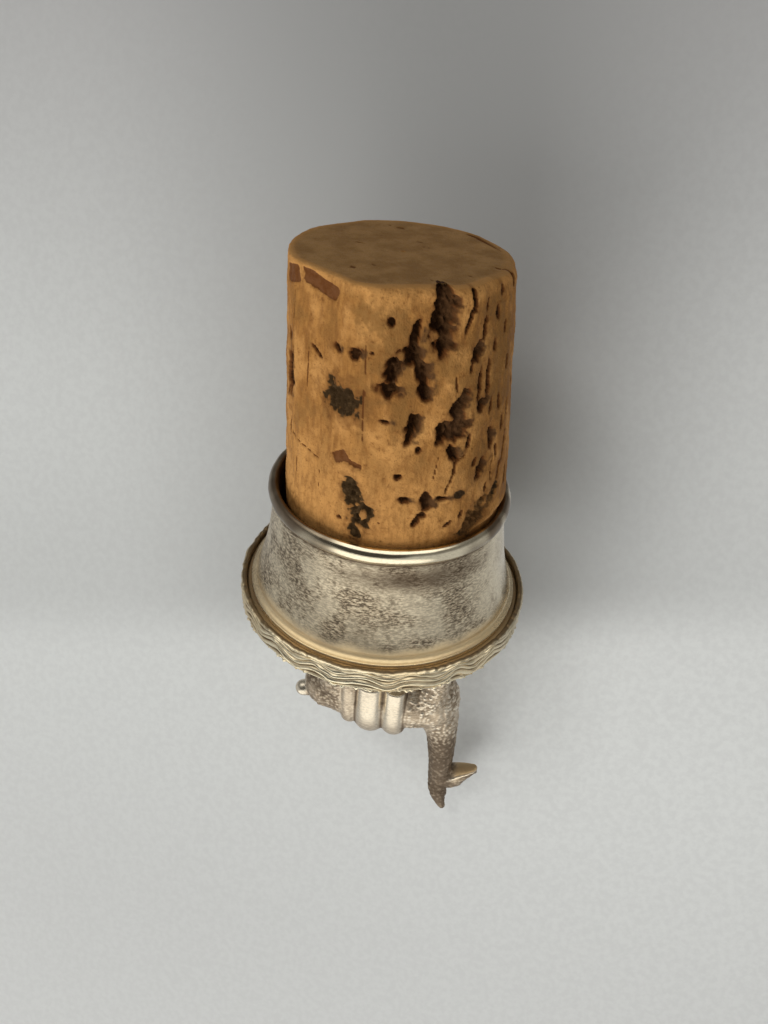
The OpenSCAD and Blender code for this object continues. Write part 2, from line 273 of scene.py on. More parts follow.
def finish_mesh(name, mesh):
    """A smooth object whose faces all look outward."""
    shell = bmesh.new()
    shell.from_mesh(mesh)
    bmesh.ops.recalc_face_normals(shell, faces=shell.faces)
    shell.to_mesh(mesh)
    shell.free()
    mesh.polygons.foreach_set("use_smooth", [True] * len(mesh.polygons))
    piece = bpy.data.objects.new(name, mesh)
    bpy.context.scene.collection.objects.link(piece)
    return piece


def add_masks(piece, masks):
    """Named values from 0 to 1 at each vertex, which the piece's material reads."""
    for name, values in masks.items():
        padded = np.zeros(len(piece.data.vertices), np.float32)
        padded[:len(values)] = np.clip(values, 0.0, 1.0)
        piece.data.attributes.new(name, "FLOAT", "POINT").data.foreach_set("value", padded)


def put(tree, kind, inputs, **settings):
    """A shader node with its settings, and its inputs as values or as links."""
    made = tree.nodes.new("ShaderNode" + kind)
    for name, value in settings.items():
        setattr(made, name, value)
    for key, value in inputs.items():
        if isinstance(value, bpy.types.NodeSocket):
            tree.links.new(value, made.inputs[key])
        else:
            made.inputs[key].default_value = value
    return made


def mix_colour(tree, share, first, second):
    """Two colours mixed by a share."""
    rgba = [c if isinstance(c, bpy.types.NodeSocket) else (*c, 1.0) for c in (first, second)]
    return put(tree, "Mix", {0: share, 6: rgba[0], 7: rgba[1]}, data_type="RGBA").outputs[2]


def grade(tree, value, low, high, low_out=0.0, high_out=1.0):
    """A value eased from one range to another."""
    inputs = {"Value": value, "From Min": low, "From Max": high, "To Min": low_out, "To Max": high_out}
    return put(tree, "MapRange", inputs, interpolation_type="SMOOTHSTEP").outputs[0]


def math_node(tree, operation, first, second):
    """Two values put together by an operation and kept from 0 to 1."""
    return put(tree, "Math", {0: first, 1: second}, operation=operation, use_clamp=True).outputs[0]


def times(tree, first, second):
    """One value times another."""
    return math_node(tree, "MULTIPLY", first, second)


def layered(tree, base, layers):
    """A base colour under layers, each with its share and its colour, one over another."""
    for share, colour in layers:
        base = mix_colour(tree, share, base, colour)
    return base


def noise_at(tree, size, detail=3.0, stretch=(1.0, 1.0, 1.0), roughness=0.55):
    """Noise with features of about that size in mm, drawn out along an axis by its stretch."""
    where = put(tree, "TexCoord", {}).outputs["Object"]
    scale = [1.0 / (size * MM * s) for s in stretch]
    placed = put(tree, "Mapping", {"Vector": where, "Scale": scale}).outputs[0]
    inputs = {"Vector": placed, "Scale": 1.0, "Detail": detail, "Roughness": roughness}
    return put(tree, "TexNoise", inputs).outputs["Fac"]


def mask_of(tree, name):
    """The value that a mesh holds under a name."""
    return put(tree, "Attribute", {}, attribute_name=name).outputs["Fac"]


def new_material(name):
    """A material, its tree and its surface shader."""
    material = bpy.data.materials.new(name)
    material.use_nodes = True
    return material, material.node_tree, material.node_tree.nodes["Principled BSDF"]


front_angles = np.linspace(-90.0, 90.0, CORK_FRONT_COLUMNS, endpoint=False)
back_angles = np.linspace(90.0, 270.0, CORK_BACK_COLUMNS, endpoint=False)
angles = np.concatenate([front_angles, back_angles])
heights = CORK_FINE_Z * np.linspace(0.0, 1.0, CORK_ROWS) ** CORK_ROW_CROWDING
around, along = np.meshgrid(angles, heights)
ragged = noise_grid(angles, heights, CORK_LIP_R, CORK_RAG_SIZE, 1)
gritty = noise_grid(angles, heights, CORK_LIP_R, CORK_GRIT_SIZE, 2)


def mark_cover(mark, corner=2.0, rag=0.6):
    """How far inside a mark each point of the cork's side lies, from 0 at its ragged edge."""
    angle, height, half_width, half_length, lean = mark[:5]
    across = np.radians(angle_between(around, angle)) * (CORK_TIP_R + CORK_LIP_R) / 2
    down = along - height
    tilt = math.radians(lean)
    short = np.abs(across * math.cos(tilt) + down * math.sin(tilt)) / half_width
    long = np.abs(down * math.cos(tilt) - across * math.sin(tilt)) / half_length
    reach = (short ** corner + long ** corner) ** (1.0 / corner)
    return 1.0 - reach - rag * ragged - 0.6 * rag * gritty


draw = random.Random(BACK_PORE_SEED)
back_pores = []
for _ in range(BACK_PORES):
    size = draw.uniform(*BACK_PORE_WIDTHS)
    back_pores.append((
        draw.uniform(*BACK_PORE_ANGLES), draw.uniform(*BACK_PORE_HEIGHTS), size,
        size * draw.uniform(*BACK_PORE_STRETCH), draw.uniform(*BACK_PORE_LEANS), size * BACK_PORE_DEPTH,
    ))

stain_names = ("pore", "rust", "lit_pit_floor", "knot", "inlay", "shade", "pale")
stains = {name: np.zeros_like(around) for name in (*stain_names, "chip", "sunk")}


def stain(name, values):
    """Raises one of the cork's masks to the values, where they are higher."""
    stains[name] = np.maximum(stains[name], values)


# Pores, cracks, knots and inlays sink into the bark and stain it, shades only darken it, partly as painted
# shade, and chips stand out.
for angle, height, half_width, half_length, lean, depth in CORK_PORES + back_pores:
    inside = mark_cover((angle, height, 1.12 * half_width, half_length, lean), rag=0.48)
    stain("pore", smooth_step(0.0, 0.25, inside))
    stain("rust", smooth_step(-0.4, 0.1, inside))
    stain("sunk", depth * smooth_step(-0.02, 0.36, inside) * (0.9 + 0.4 * gritty))
    # Painted light on a wide pore's floor, moved towards the lit side; the rest of the pore stays dark.
    if half_width > PIT_FLOOR_WIDTH:
        bed = (angle + PIT_LIGHT_SHIFT, height, 0.85 * half_width, 0.9 * half_length, lean)
        stain("lit_pit_floor", smooth_step(0.05, 0.5, mark_cover(bed, rag=0.8)))
for mark in CORK_CRACKS:
    cover = smooth_step(0.0, 0.5, mark_cover(mark, rag=0.9))
    stain("pore", 0.6 * cover)
    stain("sunk", mark[5] * cover)
for mark in CORK_KNOTS:
    inside = mark_cover(mark)
    cover = smooth_step(-0.12, 0.4, inside)
    stain("knot", cover)
    stain("rust", 0.8 * smooth_step(-0.7, 0.05, inside))
    stain("sunk", mark[5] * cover * (0.7 + 1.2 * gritty))
for mark in CORK_INLAYS:
    cover = smooth_step(0.0, 0.16, mark_cover(mark, corner=6.0, rag=0.14))
    stain("inlay", cover)
    stain("sunk", mark[5] * cover)
for mark in CORK_SHADES:
    stain("shade", mark[5] * smooth_step(-0.25, 0.8, mark_cover(mark, rag=0.7)))
for mark in CORK_CHIPS:
    stain("chip", smooth_step(0.0, 0.3, mark_cover(mark, rag=0.3)))
browned = BROWN_KNOT_FADE * smooth_step(-0.3, 0.3, mark_cover(CORK_BROWN_KNOT))
chips = stains["chip"]
stains["knot"] = stains["knot"] * (1.0 - browned) * (1.0 - chips)
sunk = stains["sunk"] * (1.0 - chips) - CHIP_RISE * chips
# Pale wear and a painted highlight along the free edge, halved on the right towards the back.
edge_wear_and_light = np.where(angle_between(around, EDGE_WEAR_AND_LIGHT_SIDE) > 90.0, 0.5, 1.0)
# Painted light on the bark near the collar, on the left, as if thrown back from the collar's bead.
lip_glow = LIP_GLOW * smooth_step(*LIP_GLOW_HEIGHTS, along)
stain("pale", edge_wear_and_light * np.exp(-(along / EDGE_WEAR_AND_LIGHT_HEIGHT) ** 2))
stain("pale", lip_glow * (1.0 - smooth_step(*LIP_GLOW_ANGLES, around)))
stain("pale", chips)


def cork_edge(angle):
    """Radius of the worn edge round the free end, sharp at the left and softer at the front and right."""
    softer = smooth_step(-24.0, 8.0, angle) * (1.0 - smooth_step(80.0, 120.0, angle))
    return CORK_EDGE + CORK_EDGE_WORN * softer


def cork_radius(angle, height):
    """Radius of the whittled cork, before its pores."""
    share = min(height / CORK_LIP_Z, 1.0)
    full = CORK_TIP_R + (CORK_LIP_R - CORK_TIP_R) * share
    radius = full
    for flat, cut in CORK_FLATS:
        away = math.radians(angle_between(angle, flat))
        if abs(away) < 1.0:
            radius = min(radius, (full - cut * (1.0 - share)) / math.cos(away))
    edge = cork_edge(angle)
    if height < edge:
        radius -= edge - math.sqrt(edge ** 2 - (edge - height) ** 2)
    return radius


def cork_point(angle, radius, height):
    """A point of the cork, which leans across the picture and is squeezed where the collar grips it."""
    share = min(height / CORK_LIP_Z, 1.0)
    shift = CORK_TIP_SHIFT + (CORK_LIP_SHIFT - CORK_TIP_SHIFT) * share
    place = round_point(angle, radius, height) + rightward * shift
    grip = smooth_step(CORK_LIP_Z - 1.0, CORK_LIP_Z - 0.1, height)
    squeeze = min(CORK_SEAT_R / max(math.hypot(place.x, place.y), 0.1), 1.0)
    scale = 1.0 - grip * (1.0 - squeeze)
    return Vector((place.x * scale, place.y * scale, height))


def flat_point(angle, radius):
    """A point in the plane of the end face, by angle and radius."""
    return Vector((math.cos(math.radians(angle)), math.sin(math.radians(angle)))) * radius


# The end face, ring by ring from its middle, with its marks and a split near its edge.
end_rings = []
end_dark = []
end_pale = []
for ring in range(1, CORK_END_RINGS):
    points = []
    for angle in angles:
        radius = cork_radius(angle, 0.0) * ring / CORK_END_RINGS
        spot = flat_point(angle, radius)
        uneven = noise.noise(Vector((*spot, 4.0)) * 0.5)
        grainy = noise.noise(Vector((*spot, 9.0)) * 3.0)
        dip = END_DIP + END_UNEVEN * uneven + END_GRAIN * grainy
        dark = 0.0
        for mark_angle, mark_r, half_width, half_length, lean, depth in END_MARKS:
            offset = spot - flat_point(mark_angle, mark_r)
            tilt = math.radians(lean)
            short = (offset.y * math.cos(tilt) - offset.x * math.sin(tilt)) / half_width
            long = (offset.x * math.cos(tilt) + offset.y * math.sin(tilt)) / half_length
            cover = smooth_step(0.0, 0.6, 1.0 - math.hypot(short, long) - 0.4 * grainy)
            dip = max(dip, depth * cover)
            dark = max(dark, cover * min(depth * 4.0, 1.0))
        away = math.radians(angle_between(angle, SPLIT_ANGLE))
        half_span = math.radians(SPLIT_HALF_SPAN)
        if abs(away) < half_span:
            bow = SPLIT_BOW * (1.0 - (away / half_span) ** 2)
            past = radius * math.cos(away) - SPLIT_R - bow
            crack = math.exp(-(past / SPLIT_HALF_WIDTH) ** 2)
            dip = max(dip + SPLIT_STEP * smooth_step(0.0, 0.3, past), SPLIT_DEPTH * crack)
            dark = max(dark, crack)
        points.append(cork_point(angle, radius, max(dip, 0.0)))
        end_dark.append(dark)
        # A pale rim on the end face: wear with a painted highlight.
        end_pale.append(0.6 * math.exp(-((cork_radius(angle, 0.0) - radius) / 0.3) ** 2))
    end_rings.append(points)

side_rings = []
for row, height in enumerate(heights):
    points = []
    for column, angle in enumerate(angles):
        lump = CORK_LUMP * noise.noise(round_point(angle, CORK_LIP_R, height) / CORK_LUMP_SIZE)
        rough_cut = CORK_GRIT * (ragged[row][column] + 0.6 * gritty[row][column])
        radius = cork_radius(angle, height) + lump - rough_cut - sunk[row][column]
        points.append(cork_point(angle, radius, height))
    side_rings.append(points)
seat_heights = np.linspace(CORK_FINE_Z + 0.6, CORK_TOP, CORK_SEAT_RINGS)
seat_rings = [[cork_point(a, CORK_LIP_R, z) for a in angles] for z in seat_heights]

cork = ring_piece("cork_plug", end_rings + side_rings + seat_rings, closed=False)
no_end = np.zeros(len(end_dark))
end_stains = {"pore": np.array(end_dark), "rust": np.array(end_dark) * 0.7, "pale": np.array(end_pale)}
cork_masks = {n: np.concatenate([end_stains.get(n, no_end), stains[n].ravel()]) for n in stain_names}
cork_masks["end_face"] = np.concatenate([no_end + 1.0, 1.0 - smooth_step(0.0, 0.5, along.ravel())])
add_masks(cork, cork_masks)

CORK_DARK = (0.27, 0.116, 0.03)
CORK_MIDDLE = (0.42, 0.195, 0.052)
CORK_PALE = (0.6, 0.3, 0.092)
CORK_OLIVE = (0.24, 0.118, 0.034)
CORK_END = (0.4, 0.225, 0.085)
CORK_END_DARK = (0.29, 0.155, 0.055)
CORK_RUST = (0.125, 0.043, 0.012)
CORK_BLACK = (0.018, 0.008, 0.003)
CORK_LIT_FLOOR = (0.098, 0.046, 0.018)
CORK_KNOT = (0.032, 0.019, 0.008)
CORK_KNOT_GREY = (0.09, 0.054, 0.024)
CORK_INLAY = (0.15, 0.058, 0.021)
CORK_SHINE = 0.08
CORK_BUMP = 0.16

cork_skin, tree, shader = new_material("cork_bark")
grain = noise_at(tree, 0.42, 4.0, (1.0, 1.0, 3.5))
patches = noise_at(tree, 2.4, 3.0, (1.0, 1.0, 1.4))
specks = noise_at(tree, 0.16, 2.0)
mottle = noise_at(tree, 0.5, 3.0)
# The pale mask lightens the bark: chips, wear with a painted edge highlight, and painted light by the collar.
wear_and_light = times(tree, mask_of(tree, "pale"), grade(tree, grain, 0.36, 0.62, 0.5, 1.0))
end_colour = layered(tree, CORK_END_DARK, [
    (grade(tree, patches, 0.35, 0.65), CORK_END),
    (grade(tree, mottle, 0.55, 0.75, 0.0, 0.5), CORK_END_DARK),
    (times(tree, mask_of(tree, "pale"), 0.6), CORK_PALE),
])
inlaid = mix_colour(tree, grade(tree, mottle, 0.4, 0.65), CORK_INLAY, CORK_RUST)
burnt = mix_colour(tree, grade(tree, mottle, 0.5, 0.72, 0.0, 0.8), CORK_KNOT, CORK_KNOT_GREY)
bark = layered(tree, CORK_DARK, [
    (grade(tree, grain, 0.28, 0.7), CORK_MIDDLE),
    (grade(tree, patches, 0.44, 0.66, 0.0, 0.85), CORK_PALE),
    (grade(tree, patches, 0.3, 0.46, 0.6, 0.0), CORK_OLIVE),
    # Olive patches, some of them painted shade.
    (mask_of(tree, "shade"), CORK_OLIVE),
    (wear_and_light, CORK_PALE),
    (grade(tree, specks, 0.58, 0.76, 0.0, 0.55), CORK_RUST),
    (grade(tree, mottle, 0.48, 0.7, 0.0, 0.45), CORK_DARK),
    (grade(tree, mottle, 0.66, 0.76, 0.0, 0.5), CORK_RUST),
    (grade(tree, mask_of(tree, "end_face"), 0.72, 0.98), end_colour),
    (grade(tree, mask_of(tree, "inlay"), 0.3, 0.8, 0.0, 0.95), inlaid),
    (times(tree, mask_of(tree, "rust"), 0.55), CORK_RUST),
    (grade(tree, mask_of(tree, "knot"), 0.1, 0.7, 0.0, 0.96), burnt),
    (grade(tree, mask_of(tree, "pore"), 0.05, 0.4, 0.0, 0.9), CORK_RUST),
    # Pores are black inside: their own dark colour and painted shade, with painted light on wide floors.
    (grade(tree, mask_of(tree, "pore"), 0.45, 0.95, 0.0, 0.85), CORK_BLACK),
    (times(tree, mask_of(tree, "lit_pit_floor"), grade(tree, mottle, 0.3, 0.6, 0.35, 1.0)), CORK_LIT_FLOOR),
])
tree.links.new(bark, shader.inputs["Base Color"])
tree.links.new(grade(tree, grain, 0.3, 0.7, 0.6, 0.82), shader.inputs["Roughness"])
shader.inputs["Specular IOR Level"].default_value = CORK_SHINE
relief = math_node(tree, "ADD", times(tree, grain, 0.5), times(tree, specks, 0.5))
bump = put(tree, "Bump", {"Height": relief, "Strength": 0.8, "Distance": CORK_BUMP * MM})
tree.links.new(bump.outputs[0], shader.inputs["Normal"])
cork.data.materials.append(cork_skin)
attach(cork, "root")
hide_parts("cork")


# Collar. A flared cup of silver sheet that grips the cork: raised over a former, with a bead rolled round
# its mouth and a flange at its foot, where it is soldered to the plate. Tarnish has mottled its wall.
COLLAR_COLUMNS = 320
COLLAR_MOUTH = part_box("collar")[0].z / MM
COLLAR_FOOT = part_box("collar")[1].z / MM
FLANGE_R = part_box("collar")[1].x / MM
BORE_R = 10.45
SHEET = 0.6
BEAD_R = 0.5
BEAD_HALF_H = 0.78
FLARE = 1.75
FLANGE_T = 0.5
FLANGE_EDGE = 0.12
COVE_R = 0.55
SCORE_Z = 1.75
SCORE_DEPTH = 0.05
SCORE_HALF = 0.1
WALL_ROWS = 54
DENT = 0.06
PINCH_ANGLE = 85.0
PINCH = 0.2
PINCH_SPREAD = 32.0
PINCH_REACH = 5.0
DENT_SIZE = 5.0
FINE_DENT_SHARE = 0.3
FINE_DENT_SIZE = 1.2
SMOKE_SIZE = 2.2
# Dark stains in the wall: angle, height, how far each spreads round and up, and its strength.
LOW_STAIN = (-6.0, 29.6, 34.0, 1.6, 0.36)
HIGH_STAIN = (14.0, COLLAR_MOUTH + BEAD_HALF_H + 2.3, 44.0, 1.6, 0.74)
# Where the finish changes round the wall, in degrees: painted shade and dark reflection on the bead and
# less gold away from the front, and brighter, less tarnished metal with a painted sheen at the right.
COLLAR_FRONT = 8.0
BEAD_SHADE_SIDES = (16.0, 46.0)
GOLD_SIDES = (40.0, 80.0)
SHEEN_SIDE = (40.0, 70.0)
# Where it changes up the wall, in mm: the bead's polish with a painted highlight, fading from its middle,
# its groove, tarnished and painted as a dark reflection over the bead's lower flank, and that groove's
# half width, the dirt at the joint, and the gold from the flange.
BEAD_SHINE = (0.2, 0.65)
GROOVE_Z = 0.82
GROOVE_HALF = 0.3
JOINT_HALF = 0.07
GOLD_RISE = (1.5, 0.4)
SILVER = (0.82, 0.72, 0.54)
SILVER_BRIGHT = (0.95, 0.855, 0.645)
TARNISH_BROWN = (0.37, 0.262, 0.155)
TARNISH_BLACK = (0.092, 0.07, 0.052)
CREVICE = (0.14, 0.095, 0.06)
GILT = (1.0, 0.785, 0.46)
GOLD_BROWN = (0.62, 0.43, 0.21)
GILT_METALLIC = 0.6
PITTING = 0.03

neck_r = BORE_R + SHEET
bead_z = COLLAR_MOUTH + BEAD_HALF_H
flange_z = COLLAR_FOOT - FLANGE_T
flare_r = ((flange_z - bead_z) ** 2 + FLARE ** 2) / (2 * FLARE)


def arc_points(middle_r, middle_z, radius, start, end, steps):
    """Points of radius and height along an arc, by angles in degrees."""
    turns = [math.radians(start + (end - start) * i / steps) for i in range(steps + 1)]
    return [(middle_r + radius * math.cos(t), middle_z + radius * math.sin(t)) for t in turns]


def wall_radius(z):
    """Outer radius of the flared wall."""
    return neck_r + flare_r - math.sqrt(flare_r ** 2 - (z - bead_z) ** 2)


def stain_at(angle, z, spot):
    """How strong a stain in the wall is at a point."""
    middle, height, wide, tall, strength = spot
    return strength * math.exp(-(angle_between(angle, middle) / wide) ** 2 - ((z - height) / tall) ** 2)


collar_profile = [(BORE_R, z) for z in np.linspace(COLLAR_FOOT - 0.2, bead_z + 0.2, 10)]
for radius, z in arc_points(BORE_R + BEAD_R, 0.0, BEAD_R, 180.0, 398.0, 30):
    collar_profile.append((radius, bead_z + z * BEAD_HALF_H / BEAD_R))
for z in np.linspace(bead_z + 0.85, flange_z - COVE_R, WALL_ROWS):
    score = SCORE_DEPTH * math.exp(-((z - COLLAR_MOUTH - SCORE_Z) / SCORE_HALF) ** 2)
    collar_profile.append((wall_radius(z) - score, z))
foot_r = wall_radius(flange_z - COVE_R)
collar_profile += arc_points(foot_r + COVE_R, flange_z - COVE_R, COVE_R, 176.0, 100.0, 9)
edge_r = FLANGE_R - FLANGE_EDGE
collar_profile += arc_points(edge_r, flange_z + FLANGE_EDGE, FLANGE_EDGE, -90.0, 0.0, 5)
collar_profile += arc_points(edge_r, COLLAR_FOOT - FLANGE_EDGE, FLANGE_EDGE, 0.0, 90.0, 5)
collar_profile += [(r, COLLAR_FOOT) for r in (FLANGE_R - 1.0, BORE_R + 0.2)]

collar_rings = []
collar_masks = {"hollow": [], "polish_and_sheen": [], "gilt_and_reflection": []}
for radius, z in collar_profile:
    outside = radius > BORE_R + 0.1
    # The groove under the bead: tarnish, and a painted dark reflection over the bead's lower flank.
    groove = math.exp(-((z - bead_z - GROOVE_Z) / GROOVE_HALF) ** 2) if radius > neck_r - 0.1 else 0.0
    at_joint = math.exp(-((z - COLLAR_FOOT) / JOINT_HALF) ** 2) if radius > FLANGE_R - 0.3 else 0.0
    # The bead's polish, with a painted highlight on its upper half.
    on_bead = 1.0 - smooth_step(bead_z + BEAD_SHINE[0], bead_z + BEAD_SHINE[1], z)
    on_edge = 0.6 * smooth_step(FLANGE_R - 0.25, FLANGE_R - 0.02, radius)
    near_mouth = 1.0 - smooth_step(bead_z, bead_z + PINCH_REACH, z)
    points = []
    for i in range(COLLAR_COLUMNS):
        angle = 360.0 * i / COLLAR_COLUMNS
        place = round_point(angle, radius, z)
        wander = DENT * noise.noise(place / DENT_SIZE)
        wander = wander + FINE_DENT_SHARE * DENT * noise.noise(place / FINE_DENT_SIZE)
        pinch = PINCH * near_mouth * math.exp(-(angle_between(angle, PINCH_ANGLE) / PINCH_SPREAD) ** 2)
        push = min(wander, FLANGE_R - radius) if outside else 0.0
        points.append(round_point(angle, radius + push - pinch, z))
        smoke = noise.noise(place / SMOKE_SIZE + UP * 4.0)
        aside = abs(angle_between(angle, COLLAR_FRONT))
        # Stains in the wall, and painted shade and dark reflection on the bead away from the front.
        stain_and_bead_shade = max(
            stain_at(angle, z, LOW_STAIN) * (0.8 + smoke),
            stain_at(angle, z, HIGH_STAIN) * (1.0 + 0.15 * smoke),
            on_bead * smooth_step(*BEAD_SHADE_SIDES, aside) * (0.85 + 0.7 * smoke),
        )
        # Painted sheen at the right, where the metal mirrors the room, with less tarnish there.
        sheen_side = 0.65 * smooth_step(*SHEEN_SIDE, angle_between(angle, 0.0))
        gold = smooth_step(flange_z - GOLD_RISE[0], flange_z - GOLD_RISE[1], z + 0.5 * smoke)
        gold = gold * (1.0 - 0.6 * smooth_step(*GOLD_SIDES, aside))
        collar_masks["hollow"].append(max(0.85 * groove, at_joint, stain_and_bead_shade) if outside else 1.0)
        collar_masks["polish_and_sheen"].append(max(on_bead, on_edge, sheen_side))
        collar_masks["gilt_and_reflection"].append(gold if outside else 0.0)
    collar_rings.append(points)
collar = ring_piece("silver_collar", collar_rings, closed=True)
add_masks(collar, collar_masks)


def new_group(name, inputs, outputs):
    """A shader node group with named inputs, which have start values, and named outputs."""
    group = bpy.data.node_groups.new(name, "ShaderNodeTree")
    for label, kind, value in inputs:
        socket = group.interface.new_socket(label, in_out="INPUT", socket_type="NodeSocket" + kind)
        socket.default_value = value
    for label, kind in outputs:
        group.interface.new_socket(label, in_out="OUTPUT", socket_type="NodeSocket" + kind)
    return group, group.nodes.new("NodeGroupInput").outputs, group.nodes.new("NodeGroupOutput").inputs


# Old silver: clean metal under mottled tarnish, with dirt and painted shade by its hollow mask, gold where
# it is gilt and where a golden reflection is painted, and bright metal where it is worn and where sheens
# and highlights are painted.
old_silver, given, result = new_group(
    "old_silver",
    [
        ("Metal", "Color", (*SILVER, 1.0)), ("Bright", "Color", (*SILVER_BRIGHT, 1.0)),
        ("Dirt_And_Shade", "Color", (*CREVICE, 1.0)), ("Gold", "Color", (*GILT, 1.0)),
        ("Cover", "Float", 0.5), ("Hollow", "Float", 0.0), ("Polish_And_Sheen", "Float", 0.0),
        ("Gilt_And_Reflection", "Float", 0.0), ("Rough", "Float", 0.36),
    ],
    [("Color", "Color"), ("Roughness", "Float"), ("Height", "Float")],
)
tree = old_silver
clouds = noise_at(tree, 2.4, 4.0)
specks = noise_at(tree, 0.15, 4.0, (2.6, 2.6, 0.9), 0.65)
scratches = noise_at(tree, 0.12, 2.0, (16.0, 16.0, 0.8))
clear_of_tarnish = math_node(tree, "MAXIMUM", given["Polish_And_Sheen"], given["Gilt_And_Reflection"])
tarnished = math_node(tree, "SUBTRACT", 1.0, times(tree, clear_of_tarnish, 0.9))
cover = times(tree, grade(tree, clouds, 0.36, 0.66, 0.25, 1.0), given["Cover"])
cover = times(tree, cover, tarnished)
dotted = math_node(tree, "ADD", times(tree, cover, 0.9), 0.06)
dotted = times(tree, grade(tree, specks, 0.45, 0.58), dotted)
golden = mix_colour(tree, grade(tree, specks, 0.3, 0.7, 0.0, 0.2), given["Gold"], GOLD_BROWN)
dirt_and_shade = grade(tree, given["Hollow"], 0.1, 0.95, 0.0, 0.92)
aged = layered(tree, given["Metal"], [
    (grade(tree, scratches, 0.42, 0.75, 0.0, 0.35), given["Bright"]),
    (given["Polish_And_Sheen"], given["Bright"]),
    (times(tree, cover, 0.65), TARNISH_BROWN),
    (dotted, TARNISH_BLACK),
    (times(tree, grade(tree, specks, 0.32, 0.46, 0.9, 0.0), tarnished), given["Bright"]),
    (given["Gilt_And_Reflection"], golden),
    (dirt_and_shade, given["Dirt_And_Shade"]),
])
tree.links.new(aged, result["Color"])
smoother = math_node(tree, "SUBTRACT", 1.0, times(tree, given["Polish_And_Sheen"], 0.7))
dull = times(tree, given["Rough"], smoother)
for share, added in ((dirt_and_shade, 0.2), (dotted, 0.25), (grade(tree, scratches, 0.3, 0.7), 0.05)):
    dull = math_node(tree, "ADD", times(tree, share, added), dull)
tree.links.new(dull, result["Roughness"])
pitted = math_node(tree, "SUBTRACT", 1.0, times(tree, specks, tarnished))
tree.links.new(times(tree, pitted, grade(tree, scratches, 0.2, 0.8, 0.85, 1.0)), result["Height"])


def silver_material(name, cover, rough, metallic, colours):
    """Old silver, by its tarnish, roughness and metallic share, and colours from metal to gold."""
    material, tree, shader = new_material(name)
    group = put(tree, "Group", {}, node_tree=old_silver)
    group.inputs["Cover"].default_value = cover
    group.inputs["Rough"].default_value = rough
    for label, colour in zip(("Metal", "Bright", "Dirt_And_Shade", "Gold"), colours):
        group.inputs[label].default_value = (*colour, 1.0)
    for label in ("Hollow", "Polish_And_Sheen", "Gilt_And_Reflection"):
        tree.links.new(mask_of(tree, label.lower()), group.inputs[label])
    washed = grade(tree, mask_of(tree, "gilt_and_reflection"), 0.0, 1.0, metallic, GILT_METALLIC)
    tree.links.new(washed, shader.inputs["Metallic"])
    tree.links.new(group.outputs["Color"], shader.inputs["Base Color"])
    tree.links.new(group.outputs["Roughness"], shader.inputs["Roughness"])
    pits = {"Height": group.outputs["Height"], "Strength": 0.5, "Distance": PITTING * MM}
    bump = put(tree, "Bump", pits)
    tree.links.new(bump.outputs[0], shader.inputs["Normal"])
    return material


collar.data.materials.append(
    silver_material("collar_silver", 0.85, 0.36, 1.0, (SILVER, SILVER_BRIGHT, CREVICE, GILT))
)
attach(collar, "root")
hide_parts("collar")


# Plate. A round disc of silver, turned flat and soldered on to the collar's flange. It closes the cup, and
# the llama stands on it. Its face on the collar's side shows as a brown ledge beside the border.
PLATE_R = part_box("plate")[1].x / MM
PLATE_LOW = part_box("plate")[0].z / MM
PLATE_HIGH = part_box("plate")[1].z / MM
PLATE_COLUMNS = 240
PLATE_EDGE = 0.15
PLATE_WAVER = 0.04
PLATE_WAVER_SIZE = 1.6
PLATE_HUB_R = 0.6
PLATE_ROWS = 40
# The ledge is browner away from its front, by angles, and the rim is dirty over a width in mm.
PLATE_FRONT = 4.0
BROWN_SIDES = (35.0, 70.0)
RIM_DIRT = 1.6
LEDGE_JOINT_HALF = 0.09

edge_r = PLATE_R - PLATE_EDGE
plate_profile = [(r, PLATE_LOW) for r in np.linspace(PLATE_HUB_R, edge_r, PLATE_ROWS)]
plate_profile += arc_points(edge_r, PLATE_LOW + PLATE_EDGE, PLATE_EDGE, -90.0, 0.0, 4)[1:]
plate_profile += arc_points(edge_r, PLATE_HIGH - PLATE_EDGE, PLATE_EDGE, 0.0, 90.0, 4)
plate_profile += [(r, PLATE_HIGH) for r in np.linspace(edge_r, PLATE_HUB_R, PLATE_ROWS)[1:]]
plate_rings = []
plate_masks = {"hollow": [], "gilt_and_reflection": []}
for radius, z in plate_profile:
    on_top = z == PLATE_HIGH
    on_ledge = z < PLATE_LOW + 0.3
    rim = smooth_step(PLATE_R - RIM_DIRT, PLATE_R, radius) if z > PLATE_LOW + 0.5 else 0.0
    joint = math.exp(-((radius - FLANGE_R) / LEDGE_JOINT_HALF) ** 2) if z < PLATE_LOW + 0.2 else 0.0
    points = []
    for i in range(PLATE_COLUMNS):
        angle = 360.0 * i / PLATE_COLUMNS
        place = round_point(angle, radius, z)
        beaten = PLATE_WAVER * (noise.noise(place / PLATE_WAVER_SIZE) - 1.0) if on_top else 0.0
        points.append(place + UP * beaten)
        aside = abs(angle_between(angle, PLATE_FRONT))
        brown_side = 0.6 * smooth_step(*BROWN_SIDES, aside) if on_ledge else 0.0
        plate_masks["hollow"].append(max(0.25 - 5.0 * beaten if on_top else brown_side, 0.9 * rim, joint))
        plate_masks["gilt_and_reflection"].append(1.0 if on_ledge else 0.0)
    plate_rings.append(points)
plate = ring_piece("base_plate", plate_rings, closed=False)
add_masks(plate, plate_masks)
plate.data.materials.append(
    silver_material("plate_silver", 0.5, 0.36, 1.0, (SILVER, SILVER_BRIGHT, CREVICE, GOLD_BROWN))
)
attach(plate, "root")
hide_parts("plate")


